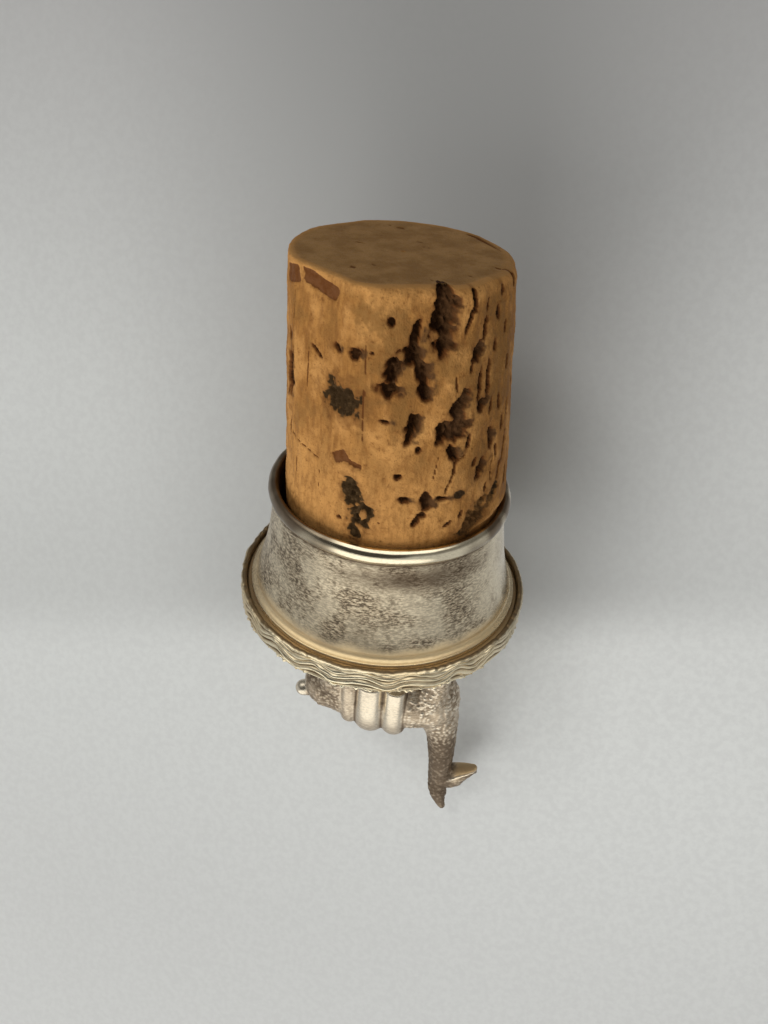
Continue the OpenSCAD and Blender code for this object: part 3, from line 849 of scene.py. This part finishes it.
# Wavy border. A cast strip of pale silver, bent round the plate's edge and soldered to it, with wavy ridges
# one above another like ripples, a ragged edge towards the collar and a row of grains on the llama's side.
BAND_RISE = 0.06
BAND_GAP = 0.05
BAND_SHEET = 0.4
BAND_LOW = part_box("wavy_band")[0].z / MM + BAND_RISE
BAND_HEIGHT = 2.46
BAND_INNER_R = PLATE_R + BAND_GAP
BAND_R = BAND_INNER_R + BAND_SHEET
BAND_LIMIT_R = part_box("wavy_band")[1].x / MM
BAND_WAVES = 20
BAND_WAVE = 0.36
BAND_CREST_ANGLE = 4.5
BAND_COLUMNS = BAND_WAVES * 32
BAND_ROWS = 48
BAND_GROUND = 0.14
BAND_BULGE = 0.06
BAND_TEAR = 0.34
BAND_DULL_SIDES = (30.0, 62.0)
# Sizes in mm of the changes round the strip: how far it swings, how it slips, and its tears.
SWING_SIZE = 4.0
SLIP_SIZE = 6.0
TEAR_SIZE = 0.55
FINE_TEAR_SIZE = 0.25
RIDGE_H = 0.31
# Ridges: place across the strip from the collar's side, and half width, as shares of the strip.
BAND_RIDGES = [(0.07, 0.06), (0.225, 0.1), (0.44, 0.125), (0.7, 0.155)]
BAND_LIP = 0.9
BAND_LIP_HALF = 0.055
# Grains: how many, and the ranges of their places across the strip and of their radii in mm.
BAND_GRAINS = 110
GRAIN_PLACES = (0.86, 0.99)
GRAIN_SIZES = (0.12, 0.25)
GRAIN_SEED = 21
BAND_SILVER = (0.95, 0.82, 0.57)
BAND_BRIGHT = (1.0, 0.93, 0.71)
BAND_DIRT = (0.15, 0.094, 0.042)

draw = random.Random(GRAIN_SEED)
grains = [
    (draw.uniform(0.0, 360.0), draw.uniform(*GRAIN_PLACES), draw.uniform(*GRAIN_SIZES))
    for _ in range(BAND_GRAINS)
]
all_rows = BAND_ROWS + 4
band_rings = [[] for _ in range(all_rows)]
band_depth = [[] for _ in range(all_rows)]
for i in range(BAND_COLUMNS):
    angle = 360.0 * i / BAND_COLUMNS
    beside = round_point(angle, BAND_R, 0.0)
    swing = 1.0 + 0.5 * noise.noise(beside / SWING_SIZE)
    slip = 0.9 * noise.noise(beside / SLIP_SIZE + UP * 3.0)
    wave = BAND_WAVE * swing * math.cos(BAND_WAVES * math.radians(angle - BAND_CREST_ANGLE) + slip)
    torn = 0.5 * max(noise.noise(beside / TEAR_SIZE), -0.3) + 0.2 * noise.noise(beside / FINE_TEAR_SIZE)
    near = [g for g in grains if abs(angle_between(angle, g[0])) < 2.0]
    for row in range(BAND_ROWS):
        share = row / (BAND_ROWS - 1)
        rise = 0.0
        for number, (middle, half) in enumerate(BAND_RIDGES):
            drift = 0.035 * noise.noise(beside / 2.0 + UP * (number * 5.0))
            wide = half * (1.0 + 0.35 * noise.noise(beside / 1.3 + UP * (number * 3.0 + 9.0)))
            off = (share - middle - drift) / wide
            if abs(off) < 1.0:
                height = 0.85 + 0.3 * noise.noise(beside / 0.8 + UP * (number * 2.0))
                rise = max(rise, (1.0 - abs(off) ** 1.6) * height)
        off = (share - BAND_LIP) / BAND_LIP_HALF
        if abs(off) < 1.0:
            rise = max(rise, 0.7 * (1.0 - off * off))
        for g_angle, g_share, g_size in near:
            aside = math.radians(angle_between(angle, g_angle)) * BAND_R
            away = math.hypot(aside, (share - g_share) * BAND_HEIGHT)
            if away < g_size:
                rise = max(rise, 1.1 * math.sqrt(1.0 - (away / g_size) ** 2))
        middle_hold = smooth_step(0.02, 0.25, share) * (1.0 - smooth_step(0.74, 0.95, share))
        edge_hold = 1.0 - smooth_step(0.0, 0.16, share)
        radius = BAND_R + BAND_BULGE * math.sin(math.pi * share) - BAND_GROUND + RIDGE_H * rise
        height = BAND_LOW + BAND_HEIGHT * share + wave * (0.12 + 0.88 * middle_hold)
        height = max(height + BAND_TEAR * torn * edge_hold, BAND_LOW - 0.05)
        band_rings[row].append(round_point(angle, min(radius, BAND_LIMIT_R), height))
        band_depth[row].append(1.0 - rise)
    low, high = band_rings[0][-1].z, band_rings[BAND_ROWS - 1][-1].z
    inner = [(0.12, high), (0.0, high - 0.15), (0.0, low + 0.15), (0.1, low)]
    for row, (out, height) in enumerate(inner):
        band_rings[BAND_ROWS + row].append(round_point(angle, BAND_INNER_R + out, height))
        band_depth[BAND_ROWS + row].append(0.75)
band = ring_piece("wavy_border", band_rings, closed=True)
band_depth = np.array(band_depth).ravel()
band_angles = np.tile(360.0 * np.arange(BAND_COLUMNS) / BAND_COLUMNS, all_rows)
dull_side = smooth_step(*BAND_DULL_SIDES, np.abs(angle_between(band_angles, PLATE_FRONT)))
washed = np.sin(np.radians(7.0 * band_angles)) * np.cos(np.radians(3.0 * band_angles))
add_masks(band, {
    "hollow": np.maximum(smooth_step(0.44, 0.9, band_depth + 0.22 * dull_side), 0.42 * dull_side),
    "polish_and_sheen": (1.0 - smooth_step(0.15, 0.65, band_depth)) * (1.0 - 0.35 * dull_side),
    "gilt_and_reflection": 0.3 + 0.25 * washed,
})
band.data.materials.append(
    silver_material("border_silver", 0.2, 0.36, 0.9, (BAND_SILVER, BAND_BRIGHT, BAND_DIRT, GILT))
)
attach(band, "root")
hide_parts("wavy_band")


# Llama. A small solid casting that stands on the plate on four hooves, with its fleece stippled by a punch
# and oxidised, and a pack of three polished rolls laid over its back. It is soldered on by its feet.
GROUND = PLATE_HIGH
LLAMA_VOXEL = 0.12
RELAX_ROUNDS = 5
CREASE_ROUNDS = 16
RING_SIDES = 24
SPAN_STEPS = 6
END_STEPS = 4
# Stations along the llama: ahead of the axis, to its left, above the plate, half depth, half width.
BODY = [
    (-4.9, 0.0, 15.4, 3.4, 3.1), (-2.6, 0.0, 15.1, 4.1, 3.6), (0.6, 0.0, 14.9, 4.2, 3.7),
    (4.0, 0.0, 14.9, 4.4, 3.85), (6.8, 0.0, 15.0, 3.8, 3.3),
]
NECK = [
    (6.4, 0.0, 15.4, 3.3, 3.0), (7.9, 0.0, 17.8, 2.45, 2.3), (8.55, 0.0, 20.4, 1.85, 1.75),
    (8.9, 0.0, 23.5, 1.6, 1.5), (9.1, 0.0, 26.6, 1.42, 1.4), (9.3, 0.0, 29.3, 1.4, 1.35),
]
HEAD = [
    (9.1, 0.0, 28.6, 2.0, 1.3), (10.4, 0.0, 27.65, 2.35, 1.32), (11.6, 0.0, 26.85, 1.62, 1.1),
    (12.45, 0.0, 26.38, 1.1, 0.9), (12.95, 0.0, 26.1, 0.78, 0.7),
]
CHIN = 0.3
TAIL = [(-6.0, 0.0, 16.9, 1.5, 1.5), (-7.1, 0.0, 17.25, 1.08, 1.05), (-8.25, 0.0, 17.7, 0.98, 0.95)]
EAR = [
    (9.2, 0.62, 29.8, 1.2, 0.75), (9.4, 0.8, 31.2, 1.0, 0.66), (9.85, 0.92, 32.5, 0.66, 0.48),
    (10.2, 0.95, 33.4, 0.42, 0.3),
]
FORE_LEG = [
    (6.6, 1.7, 13.4, 2.0, 1.7), (7.2, 1.85, 10.6, 1.5, 1.3), (7.35, 1.9, 8.2, 1.1, 1.0),
    (7.45, 1.9, 6.4, 1.1, 1.08), (7.35, 1.9, 4.4, 0.82, 0.8), (7.35, 1.9, 2.3, 0.85, 0.85),
    (7.5, 1.9, 1.5, 1.0, 1.0),
]
HIND_LEG = [
    (-3.6, 1.7, 13.8, 2.4, 1.8), (-3.7, 1.85, 11.0, 1.9, 1.5), (-4.3, 1.9, 8.6, 1.25, 1.1),
    (-4.75, 1.9, 6.6, 1.1, 1.05), (-4.5, 1.9, 4.4, 0.85, 0.82), (-4.45, 1.9, 2.3, 0.86, 0.85),
    (-4.35, 1.9, 1.5, 1.0, 1.0),
]
HOOF_R = 1.1
HOOF_H = 1.1
# Rolls of the pack: rear end, length and how far each stands out from the body.
PACK_ROLLS = [(-3.0, 1.7, 0.85), (-1.35, 3.05, 1.35), (1.75, 2.5, 1.25)]
PACK_HEM = 11.2
PACK_SIDE = 3.7
PACK_TOP = 19.3
PACK_STEPS = 28
SEAM_HALF = 0.2
# Dents: ahead, to the left, above the plate, radius and depth.
DENTS = [
    (13.1, 0.32, 26.5, 0.2, 0.14), (10.75, 1.2, 29.2, 0.36, 0.16), (10.1, 0.95, 31.4, 0.34, 0.2),
    (10.3, 0.98, 32.4, 0.3, 0.16), (9.9, 0.9, 30.6, 0.3, 0.14),
]
JAW = [(10.0, 27.65), (11.65, 26.55), (13.45, 25.7)]
MOUTH = [(13.5, 26.15), (11.8, 27.15)]
MOUTH_DEPTH = 0.12
MOUTH_HALF = 0.11
JAW_RISE = 0.2
JAW_HALF = 0.28
EYE = (10.75, 1.08, 29.2, 0.24)
STIPPLE = 0.13
STIPPLE_SIZE = 0.44
# Where the finish changes along the llama, ahead of the axis and above the plate in mm.
MUZZLE_AHEAD = (10.4, 11.4)
MUZZLE_ABOVE = (22.0, 24.0)
JAW_AHEAD = (9.9, 10.6)
NECK_ABOVE = (16.5, 22.5)
RUMP_AHEAD = (-1.5, -4.5)
TAIL_BARE_AHEAD = (-7.2, -7.9)
TAIL_TIP_AHEAD = (-7.4, -7.9)
HOOF_ABOVE = (0.8, 2.2)
SHIN_ABOVE = (7.0, 10.0)
FULL_ROLLS_AHEAD = (-1.8, -1.1)
PACK_TOP_ABOVE = (15.0, 18.0)
LLAMA_SILVER = (0.66, 0.54, 0.4)
LLAMA_BRIGHT = (0.9, 0.825, 0.675)
LLAMA_DIRT = (0.19, 0.14, 0.098)


def llama_point(ahead_mm, left_mm, above_mm):
    """A point in mm from how far it is ahead of the axis, to the llama's left and above the plate."""
    return Vector((-ahead_mm, -left_mm, GROUND + above_mm))


def smooth_path(stations):
    """Stations with points between them on a smooth curve."""
    rows = [np.array(s) for s in stations]
    path = []
    for i in range(len(rows) - 1):
        before, start, end = rows[max(i - 1, 0)], rows[i], rows[i + 1]
        after = rows[min(i + 2, len(rows) - 1)]
        for step in range(SPAN_STEPS):
            t = step / SPAN_STEPS
            path.append(0.5 * (
                2 * start + (end - before) * t + (2 * before - 5 * start + 4 * end - after) * t ** 2
                + (3 * start - before - 3 * end + after) * t ** 3
            ))
    return path + [rows[-1]]


def join_rings(shell, rings):
    """Faces between rings of vertices, and over both ends."""
    for first, second in zip(rings, rings[1:]):
        for i in range(len(first)):
            j = (i + 1) % len(first)
            shell.faces.new((first[i], first[j], second[j], second[i]))
    shell.faces.new(rings[0])
    shell.faces.new(rings[-1])


def add_limb(shell, stations, left=1.0, under=1.0):
    """A closed tube with rounded ends, on the llama's left or, by -1, its right, and a share of underside."""
    path = smooth_path(stations)
    ways = []
    for i in range(len(path)):
        step = path[min(i + 1, len(path) - 1)] - path[max(i - 1, 0)]
        ways.append(np.array((step[0], step[2])) / math.hypot(step[0], step[2]))
    caps = []
    for end, sign in ((0, -1.0), (len(path) - 1, 1.0)):
        rows = []
        for step in range(1, END_STEPS + 1):
            t = math.pi / 2 * step / (END_STEPS + 0.4)
            cap = path[end].copy()
            reach = sign * min(cap[3], cap[4]) * math.sin(t)
            cap[0] += ways[end][0] * reach
            cap[2] += ways[end][1] * reach
            cap[3:] *= math.cos(t)
            rows.append((cap, ways[end]))
        caps.append(rows)
    rings = []
    for (s, y, h, depth, width), way in caps[0][::-1] + list(zip(path, ways)) + caps[1]:
        ring = []
        for i in range(RING_SIDES):
            t = 2 * math.pi * i / RING_SIDES
            rise = depth * math.cos(t) * (under if math.cos(t) < 0 else 1.0)
            side = left * (y + width * math.sin(t))
            ring.append(shell.verts.new(llama_point(s - way[1] * rise, side, h + way[0] * rise)))
        rings.append(ring)
    join_rings(shell, rings)


def add_hoof(shell, ahead_mm, left_mm):
    """A short hoof, wider at the plate, with its toes a little ahead."""
    rings = []
    for share in (0.0, 0.1, 0.5, 1.0):
        radius = HOOF_R * (0.94 if share == 0.0 else 1.02 - 0.16 * share)
        ring = []
        for i in range(RING_SIDES):
            t = 2 * math.pi * i / RING_SIDES
            toe = 1.12 if math.cos(t) > 0 else 1.0
            forward = ahead_mm + 0.05 + radius * toe * math.cos(t)
            ring.append(shell.verts.new(llama_point(forward, left_mm + radius * math.sin(t), HOOF_H * share)))
        rings.append(ring)
    join_rings(shell, rings)


def add_roll(shell, rear, length, bulge):
    """One roll of the pack: a rounded bolster bent over the back from hem to hem."""
    rings = []
    for step in range(PACK_STEPS + 1):
        lift = math.pi * step / PACK_STEPS
        narrow = 1.0 - 0.12 * abs(math.cos(lift)) ** 6
        ring = []
        for i in range(RING_SIDES):
            t = 2 * math.pi * i / RING_SIDES
            out = bulge * math.copysign(abs(math.cos(t)) ** 0.8, math.cos(t))
            along_body = rear + length / 2 + length * 0.56 * narrow * math.sin(t)
            side = (PACK_SIDE - 0.6 + out) * math.copysign(abs(math.cos(lift)) ** 0.6, math.cos(lift))
            height = PACK_HEM + (PACK_TOP - PACK_HEM - 0.4 + out) * math.sin(lift) ** 0.66
            ring.append(shell.verts.new(llama_point(along_body, side, height)))
        rings.append(ring)
    join_rings(shell, rings)


shell = bmesh.new()
for stations in (BODY, NECK, TAIL):
    add_limb(shell, stations)
add_limb(shell, HEAD, under=CHIN)
for left in (1.0, -1.0):
    add_limb(shell, EAR, left)
    add_limb(shell, FORE_LEG, left)
    add_limb(shell, HIND_LEG, left)
    add_hoof(shell, FORE_LEG[-1][0], left * FORE_LEG[-1][1])
    add_hoof(shell, HIND_LEG[-1][0], left * HIND_LEG[-1][1])
    eye_place = Matrix.Translation(llama_point(EYE[0], left * EYE[1], EYE[2]))
    bmesh.ops.create_icosphere(shell, subdivisions=2, radius=EYE[3], matrix=eye_place)
pack = bmesh.new()
for roll in PACK_ROLLS:
    add_roll(shell, *roll)
    add_roll(pack, *roll)
bmesh.ops.recalc_face_normals(shell, faces=shell.faces)
bmesh.ops.recalc_face_normals(pack, faces=pack.faces)
pack_surface = BVHTree.FromBMesh(pack)
pack.free()

rough_mesh = bpy.data.meshes.new("llama_parts")
shell.to_mesh(rough_mesh)
shell.free()
rough = bpy.data.objects.new("llama_parts", rough_mesh)
bpy.context.scene.collection.objects.link(rough)
remesh = rough.modifiers.new("join", "REMESH")
remesh.mode = "VOXEL"
remesh.voxel_size = LLAMA_VOXEL
relax = rough.modifiers.new("relax", "SMOOTH")
relax.factor = 0.5
relax.iterations = RELAX_ROUNDS
joined = bpy.data.meshes.new_from_object(rough.evaluated_get(bpy.context.evaluated_depsgraph_get()))
bpy.data.objects.remove(rough)
bpy.data.meshes.remove(rough_mesh)


def read_rows(items, label, width, kind=float):
    """What a mesh's vertices or edges hold under a label, in a row for each."""
    values = np.zeros(len(items) * width, kind)
    items.foreach_get(label, values)
    return values.reshape(-1, width)


places = read_rows(joined.vertices, "co", 3)
normals = read_rows(joined.vertices, "normal", 3)
pairs = read_rows(joined.edges, "vertices", 2, int)


def spread(values, rounds):
    """Values averaged with their neighbours on the llama's mesh, that many times."""
    links = np.bincount(pairs.ravel(), minlength=len(values)).reshape(-1, 1)
    for _ in range(rounds):
        total = np.zeros_like(values)
        np.add.at(total, pairs[:, 0], values[pairs[:, 1]])
        np.add.at(total, pairs[:, 1], values[pairs[:, 0]])
        values = 0.5 * values + 0.5 * total / links
    return values


# The stipple, the dents and the mouth are worked into the joined figure along its normals.
sway = np.sum((spread(places, CREASE_ROUNDS) - places) * normals, axis=1)
packed = np.array([pack_surface.find_nearest(Vector(p))[3] for p in places])
packed = 1.0 - smooth_step(0.1, 0.28, packed)
places = places + packed[:, None] * (spread(places, RELAX_ROUNDS) - places)
beads = np.array([noise.voronoi(Vector(p) / STIPPLE_SIZE)[0][0] for p in places])
beads = 1.0 - smooth_step(0.05, 0.75, beads)
drift = np.array([noise.noise(Vector(p) / 1.5) for p in places])
ahead_of = -places[:, 0]
above = places[:, 2] - GROUND
bare_head = smooth_step(*MUZZLE_AHEAD, ahead_of) * smooth_step(*MUZZLE_ABOVE, above)
crown = bare_head * smooth_step(-0.2, 0.4, normals[:, 2])
fleece = (1.0 - packed) * smooth_step(*HOOF_ABOVE, above) * (1.0 - 0.85 * bare_head + 0.65 * crown)
fleece = fleece * (0.45 + 0.55 * smooth_step(*SHIN_ABOVE, above))
fleece = fleece * (1.0 - smooth_step(*TAIL_BARE_AHEAD, ahead_of))
fleece = fleece * (0.7 + 0.6 * drift)
push = STIPPLE * fleece * (beads - 0.4)
for ahead_mm, left_mm, above_mm, radius, depth in DENTS:
    for left in (1.0, -1.0):
        away = np.linalg.norm(places - np.array(llama_point(ahead_mm, left * left_mm, above_mm)), axis=1)
        push = push - depth * (1.0 - smooth_step(0.2 * radius, radius, away))
share = np.clip((ahead_of - MOUTH[1][0]) / (MOUTH[0][0] - MOUTH[1][0]), 0.0, 1.0)
mouth_line = MOUTH[1][1] + (MOUTH[0][1] - MOUTH[1][1]) * share
lips = np.exp(-((above - mouth_line) / MOUTH_HALF) ** 2)
lips = lips * smooth_step(MOUTH[1][0] - 0.3, MOUTH[1][0] + 0.2, ahead_of)
push = push - MOUTH_DEPTH * lips
placed = (places + normals * push[:, None]) * MM
placed[:, 2] = np.maximum(placed[:, 2], GROUND * MM)
joined.vertices.foreach_set("co", placed.ravel())
joined.update()
llama = finish_mesh("llama_figure", joined)
llama.data.name = "llama_figure"

# Dirt lies in the creases and between the rolls, and the neck and the rump are darker. The pack and the
# raised spots are rubbed bright; the jaw's ridge and the tip of the tail are rubbed and carry painted
# highlights; the pack's polish is graded as painted light, brightest low on its two front rolls; and
# painted shade and a golden reflection lie under the chin.
creases = smooth_step(0.025, 0.16, sway)
between = (1.0 - smooth_step(0.1, 0.6, beads)) * fleece
neck_shade = smooth_step(*NECK_ABOVE, above) * (1.0 - bare_head)
rump = smooth_step(*RUMP_AHEAD, ahead_of)
tops = 0.9 * smooth_step(0.2, 0.8, beads) * fleece * (1.0 - neck_shade) * (1.0 - 0.85 * rump)
tops = tops + (0.4 + 0.6 * bare_head) * smooth_step(0.04, 0.2, -sway) * (1.0 - 0.8 * crown)
# The tail's tip: wear and a painted highlight.
tail_tip = smooth_step(*TAIL_TIP_AHEAD, ahead_of)
# Painted shade and golden reflection on the chin's underside, given as gold.
under_chin = smooth_step(0.2, 0.7, -normals[:, 2]) * bare_head
jaw = np.interp(ahead_of, [point[0] for point in JAW], [point[1] for point in JAW])
# The jaw's ridge, raised and given a painted highlight.
ridge = np.exp(-((above - jaw - JAW_RISE) / JAW_HALF) ** 2)
ridge = ridge * smooth_step(*JAW_AHEAD, ahead_of) * (1.0 - under_chin)
roll_fronts = [rear + length for rear, length, bulge in PACK_ROLLS]
seams = sum(np.exp(-((ahead_of - front) / SEAM_HALF) ** 2) for front in roll_fronts) * packed
grime = np.maximum(0.9 * creases, 0.5 * between) + 0.3 * lips + 0.2 * bare_head * (1.0 - ridge)
grime = grime + 0.75 * seams + 0.45 * crown
grime = grime + 0.62 * neck_shade + 0.25 * rump * (1.0 - packed) * (1.0 - tail_tip)
# The pack's polish with painted light: full on the two front rolls, faint on the rear one, fading upward.
pack_polish_and_light = packed * (1.0 - creases) * (0.3 + 0.7 * smooth_step(*FULL_ROLLS_AHEAD, ahead_of))
pack_polish_and_light = 0.7 * pack_polish_and_light * (1.0 - 0.4 * smooth_step(*PACK_TOP_ABOVE, above)) * (1.0 - seams)
add_masks(llama, {
    "hollow": grime,
    "polish_and_sheen": np.maximum(np.maximum(pack_polish_and_light, tops), np.maximum(0.8 * tail_tip, ridge)),
    "gilt_and_reflection": np.maximum(0.8 * under_chin, 0.25 * (bare_head - crown)),
})
llama.data.materials.append(
    silver_material("llama_silver", 0.55, 0.44, 0.95, (LLAMA_SILVER, LLAMA_BRIGHT, LLAMA_DIRT, GOLD_BROWN))
)
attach(llama, "root")
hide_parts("llama")


# The table and the board. Plain pale paper: the table lies under the cork, and the board leans behind the
# stopper and takes its shadow, with a broad soft shade painted on it that ends at a fold, fainter painted
# shades and a painted paler side. Each shows only near the stopper, from its front and to the camera.
PAPER = (0.7, 0.71, 0.683)
PAPER_RIGHT = (0.8, 0.81, 0.78)
PAPER_SHADE = (0.4, 0.388, 0.38)
PAPER_DIM = (0.25, 0.25, 0.24)
TABLE_PAPER = (0.86, 0.865, 0.84)
FIBRE_SIZE = 0.8
FIBRE_SHARE = 0.13
# The fold: its height on the board's middle line, its slope and half its width.
FOLD = 49.0
FOLD_SLOPE = 0.187
FOLD_HALF = 4.5
# The painted shade: its middle line, the line's lean, its reach to each side and its strength.
DIM_X = 5.0
DIM_LEAN = 0.2
DIM_REACH = 44.0
DIM_SHARE = 0.64
# The painted paler side and the fainter painted shades: where each starts and ends, and the strength of the
# weak ones.
PALE_SIDE = (50.0, -50.0)
LOW_SHADE = (40.0, -50.0)
HIGH_SHADE = (55.0, 100.0)
HIGH_SHARE = 0.25
FOLD_SHADE = (15.0, 45.0)
FOLD_SHARE = 0.2
BOARD_LEAN = math.radians(23.0)
BOARD_FOOT_Y = 31.5
BOARD_MIDDLE = (0.0, 16.0, 36.0)
BOARD_CLEAR = (90.0, 160.0)
TABLE_MIDDLE = (0.0, 0.0, 0.0)
TABLE_CLEAR = (40.0, 190.0)
STAGE_SIZE = 400.0


def span(tree, value, ends, share=1.0):
    """A length eased from 0 at the first of two ends in mm to a share at the second."""
    return grade(tree, value, ends[0] * MM, ends[1] * MM, 0.0, share)


def paper_sheet(name, corners, middle, clear):
    """A sheet of paper that fades away between two distances from its middle, and its nodes."""
    mesh = bpy.data.meshes.new(name)
    mesh.from_pydata([Vector(c) * MM for c in corners], [], [(0, 1, 2, 3)])
    sheet = bpy.data.objects.new(name, mesh)
    bpy.context.scene.collection.objects.link(sheet)
    material, tree, shader = new_material(name)
    shader.inputs["Roughness"].default_value = 0.9
    shader.inputs["Specular IOR Level"].default_value = 0.1
    where = put(tree, "TexCoord", {}).outputs["Object"]
    away = put(tree, "VectorMath", {0: where, 1: Vector(middle) * MM}, operation="DISTANCE")
    faded = span(tree, away.outputs["Value"], clear)
    unseen = math_node(tree, "SUBTRACT", 1.0, put(tree, "LightPath", {}).outputs["Is Camera Ray"])
    hidden = math_node(tree, "MAXIMUM", faded, unseen)
    hidden = math_node(tree, "MAXIMUM", hidden, put(tree, "NewGeometry", {}).outputs["Backfacing"])
    nothing = put(tree, "BsdfTransparent", {})
    shown = put(tree, "MixShader", {0: hidden, 1: shader.outputs[0], 2: nothing.outputs[0]})
    tree.links.new(shown.outputs[0], tree.nodes["Material Output"].inputs["Surface"])
    sheet.data.materials.append(material)
    return tree, shader, put(tree, "SeparateXYZ", {"Vector": where}).outputs


def paint_paper(tree, shader, tone):
    """Gives a sheet its tone, under faint fibres."""
    fibre = grade(tree, noise_at(tree, FIBRE_SIZE, 5.0), 0.32, 0.68, 0.0, FIBRE_SHARE)
    tree.links.new(mix_colour(tree, fibre, tone, PAPER_SHADE), shader.inputs["Base Color"])


def board_point(x, up):
    """A point of the leaning board, by its place across and up the board from its foot."""
    return (x, BOARD_FOOT_Y - up * math.sin(BOARD_LEAN), up * math.cos(BOARD_LEAN))


far = STAGE_SIZE
square = [(-far, -far), (far, -far), (far, far), (-far, far)]
board_corners = [board_point(x, up) for x, up in square]
tree, shader, where = paper_sheet("paper_board", board_corners, BOARD_MIDDLE, BOARD_CLEAR)
rise = {0: where["X"], 1: -FOLD_SLOPE, 2: where["Z"]}
sunward = put(tree, "Math", rise, operation="MULTIPLY_ADD").outputs[0]
past_fold = span(tree, sunward, (FOLD + FOLD_HALF, FOLD - FOLD_HALF))
leaning = {0: where["Z"], 1: DIM_LEAN, 2: where["X"]}
aside = put(tree, "Math", leaning, operation="MULTIPLY_ADD").outputs[0]
aside = put(tree, "Math", {0: aside, 1: DIM_X * MM}, operation="SUBTRACT").outputs[0]
aside = put(tree, "Math", {0: aside}, operation="ABSOLUTE").outputs[0]
dim = times(tree, past_fold, span(tree, aside, (DIM_REACH, 0.0)))
paint_paper(tree, shader, layered(tree, PAPER, [
    (span(tree, where["X"], PALE_SIDE), PAPER_RIGHT),
    (span(tree, where["Z"], LOW_SHADE), PAPER_SHADE),
    (span(tree, where["Z"], HIGH_SHADE, HIGH_SHARE), PAPER_SHADE),
    (times(tree, dim, DIM_SHARE), PAPER_DIM),
    (times(tree, past_fold, span(tree, sunward, FOLD_SHADE, FOLD_SHARE)), PAPER_DIM),
]))
table_corners = [(x, y, 0.0) for x, y in square]
tree, shader, where = paper_sheet("paper_table", table_corners, TABLE_MIDDLE, TABLE_CLEAR)
paint_paper(tree, shader, TABLE_PAPER)


# The light. One soft lamp from the picture's left, weak ones from its right, from beyond the cork's end and
# from behind, and an even glow from all round. In the lamps' place, metal mirrors two pale panels and a dark
# side that only glossy rays see.
AIM = Vector((0.0, 0.0, 32.0)) * MM
# Lamps: name, place and size in mm, and power in watts.
LAMPS = [
    ("key_lamp", (150.0, -365.0, 190.0), 400.0, 1.42),
    ("fill_lamp", (-320.0, -160.0, 120.0), 220.0, 0.12),
    ("low_lamp", (105.0, -135.0, -185.0), 60.0, 0.1),
    ("back_lamp", (120.0, 330.0, 220.0), 220.0, 0.35),
]
GLOW = 0.4
GLOW_TOP = (1.0, 1.0, 0.99)
GLOW_LOW = (0.62, 0.62, 0.62)
BACKGROUND = (0.55, 0.555, 0.54)
MIRRORED = (0.48, 0.48, 0.47)
MIRRORED_LOW = (0.17, 0.165, 0.155)
# The dark side and the panels: a direction, and the cosines at the outer and the inner edge.
DARK_SIDE = ((0.15, -0.96, -0.24), (0.81, 0.92))
DARK_SIDE_TONE = (0.05, 0.047, 0.043)
PANELS = [((0.05, -0.68, 0.73), (0.83, 0.95)), ((0.12, -0.3, -0.95), (0.74, 0.9))]
PANEL_TONE = (1.35, 1.31, 1.22)
PANEL_STRETCH = (0.6, 1.0, 1.0)


def soft_lamp(name, place, size, power):
    """A square lamp that faces the stopper."""
    lamp = bpy.data.lights.new(name, "AREA")
    lamp.size = size * MM
    lamp.energy = power
    holder = bpy.data.objects.new(name, lamp)
    holder.location = Vector(place) * MM
    holder.rotation_euler = (AIM - holder.location).to_track_quat("-Z", "Y").to_euler()
    holder.visible_glossy = False
    bpy.context.scene.collection.objects.link(holder)


for lamp_values in LAMPS:
    soft_lamp(*lamp_values)

world = bpy.data.worlds.new("soft_glow")
world.use_nodes = True
bpy.context.scene.world = world
tree = world.node_tree
glow = tree.nodes["Background"]
path = put(tree, "LightPath", {})
heading = put(tree, "TexCoord", {}).outputs["Generated"]
upward = put(tree, "SeparateXYZ", {"Vector": heading}).outputs["Z"]
tree.links.new(mix_colour(tree, grade(tree, upward, -0.6, 0.6), GLOW_LOW, GLOW_TOP), glow.inputs["Color"])
glow.inputs["Strength"].default_value = GLOW
broad = put(tree, "VectorMath", {0: heading, 1: PANEL_STRETCH}, operation="MULTIPLY").outputs[0]
broad = put(tree, "VectorMath", {0: broad}, operation="NORMALIZE").outputs[0]


def facing(direction, edges):
    """How much of a patch of the surroundings lies in a direction, between the cosines at its edges."""
    turned = {0: broad, 1: Vector(direction).normalized()}
    return grade(tree, put(tree, "VectorMath", turned, operation="DOT_PRODUCT").outputs["Value"], *edges)


mirrored = layered(tree, MIRRORED_LOW, [
    (grade(tree, upward, -0.35, 0.1), MIRRORED),
    (facing(*DARK_SIDE), DARK_SIDE_TONE),
    *[(facing(*panel), PANEL_TONE) for panel in PANELS],
])
surround = mix_colour(tree, path.outputs["Is Glossy Ray"], BACKGROUND, mirrored)
pale = put(tree, "Background", {"Color": surround, "Strength": 1.0})
seen = math_node(tree, "ADD", path.outputs["Is Camera Ray"], path.outputs["Is Glossy Ray"])
seen = math_node(tree, "ADD", seen, path.outputs["Is Transmission Ray"])
shown = put(tree, "MixShader", {0: seen, 1: glow.outputs[0], 2: pale.outputs[0]})
tree.links.new(shown.outputs[0], tree.nodes["World Output"].inputs["Surface"])
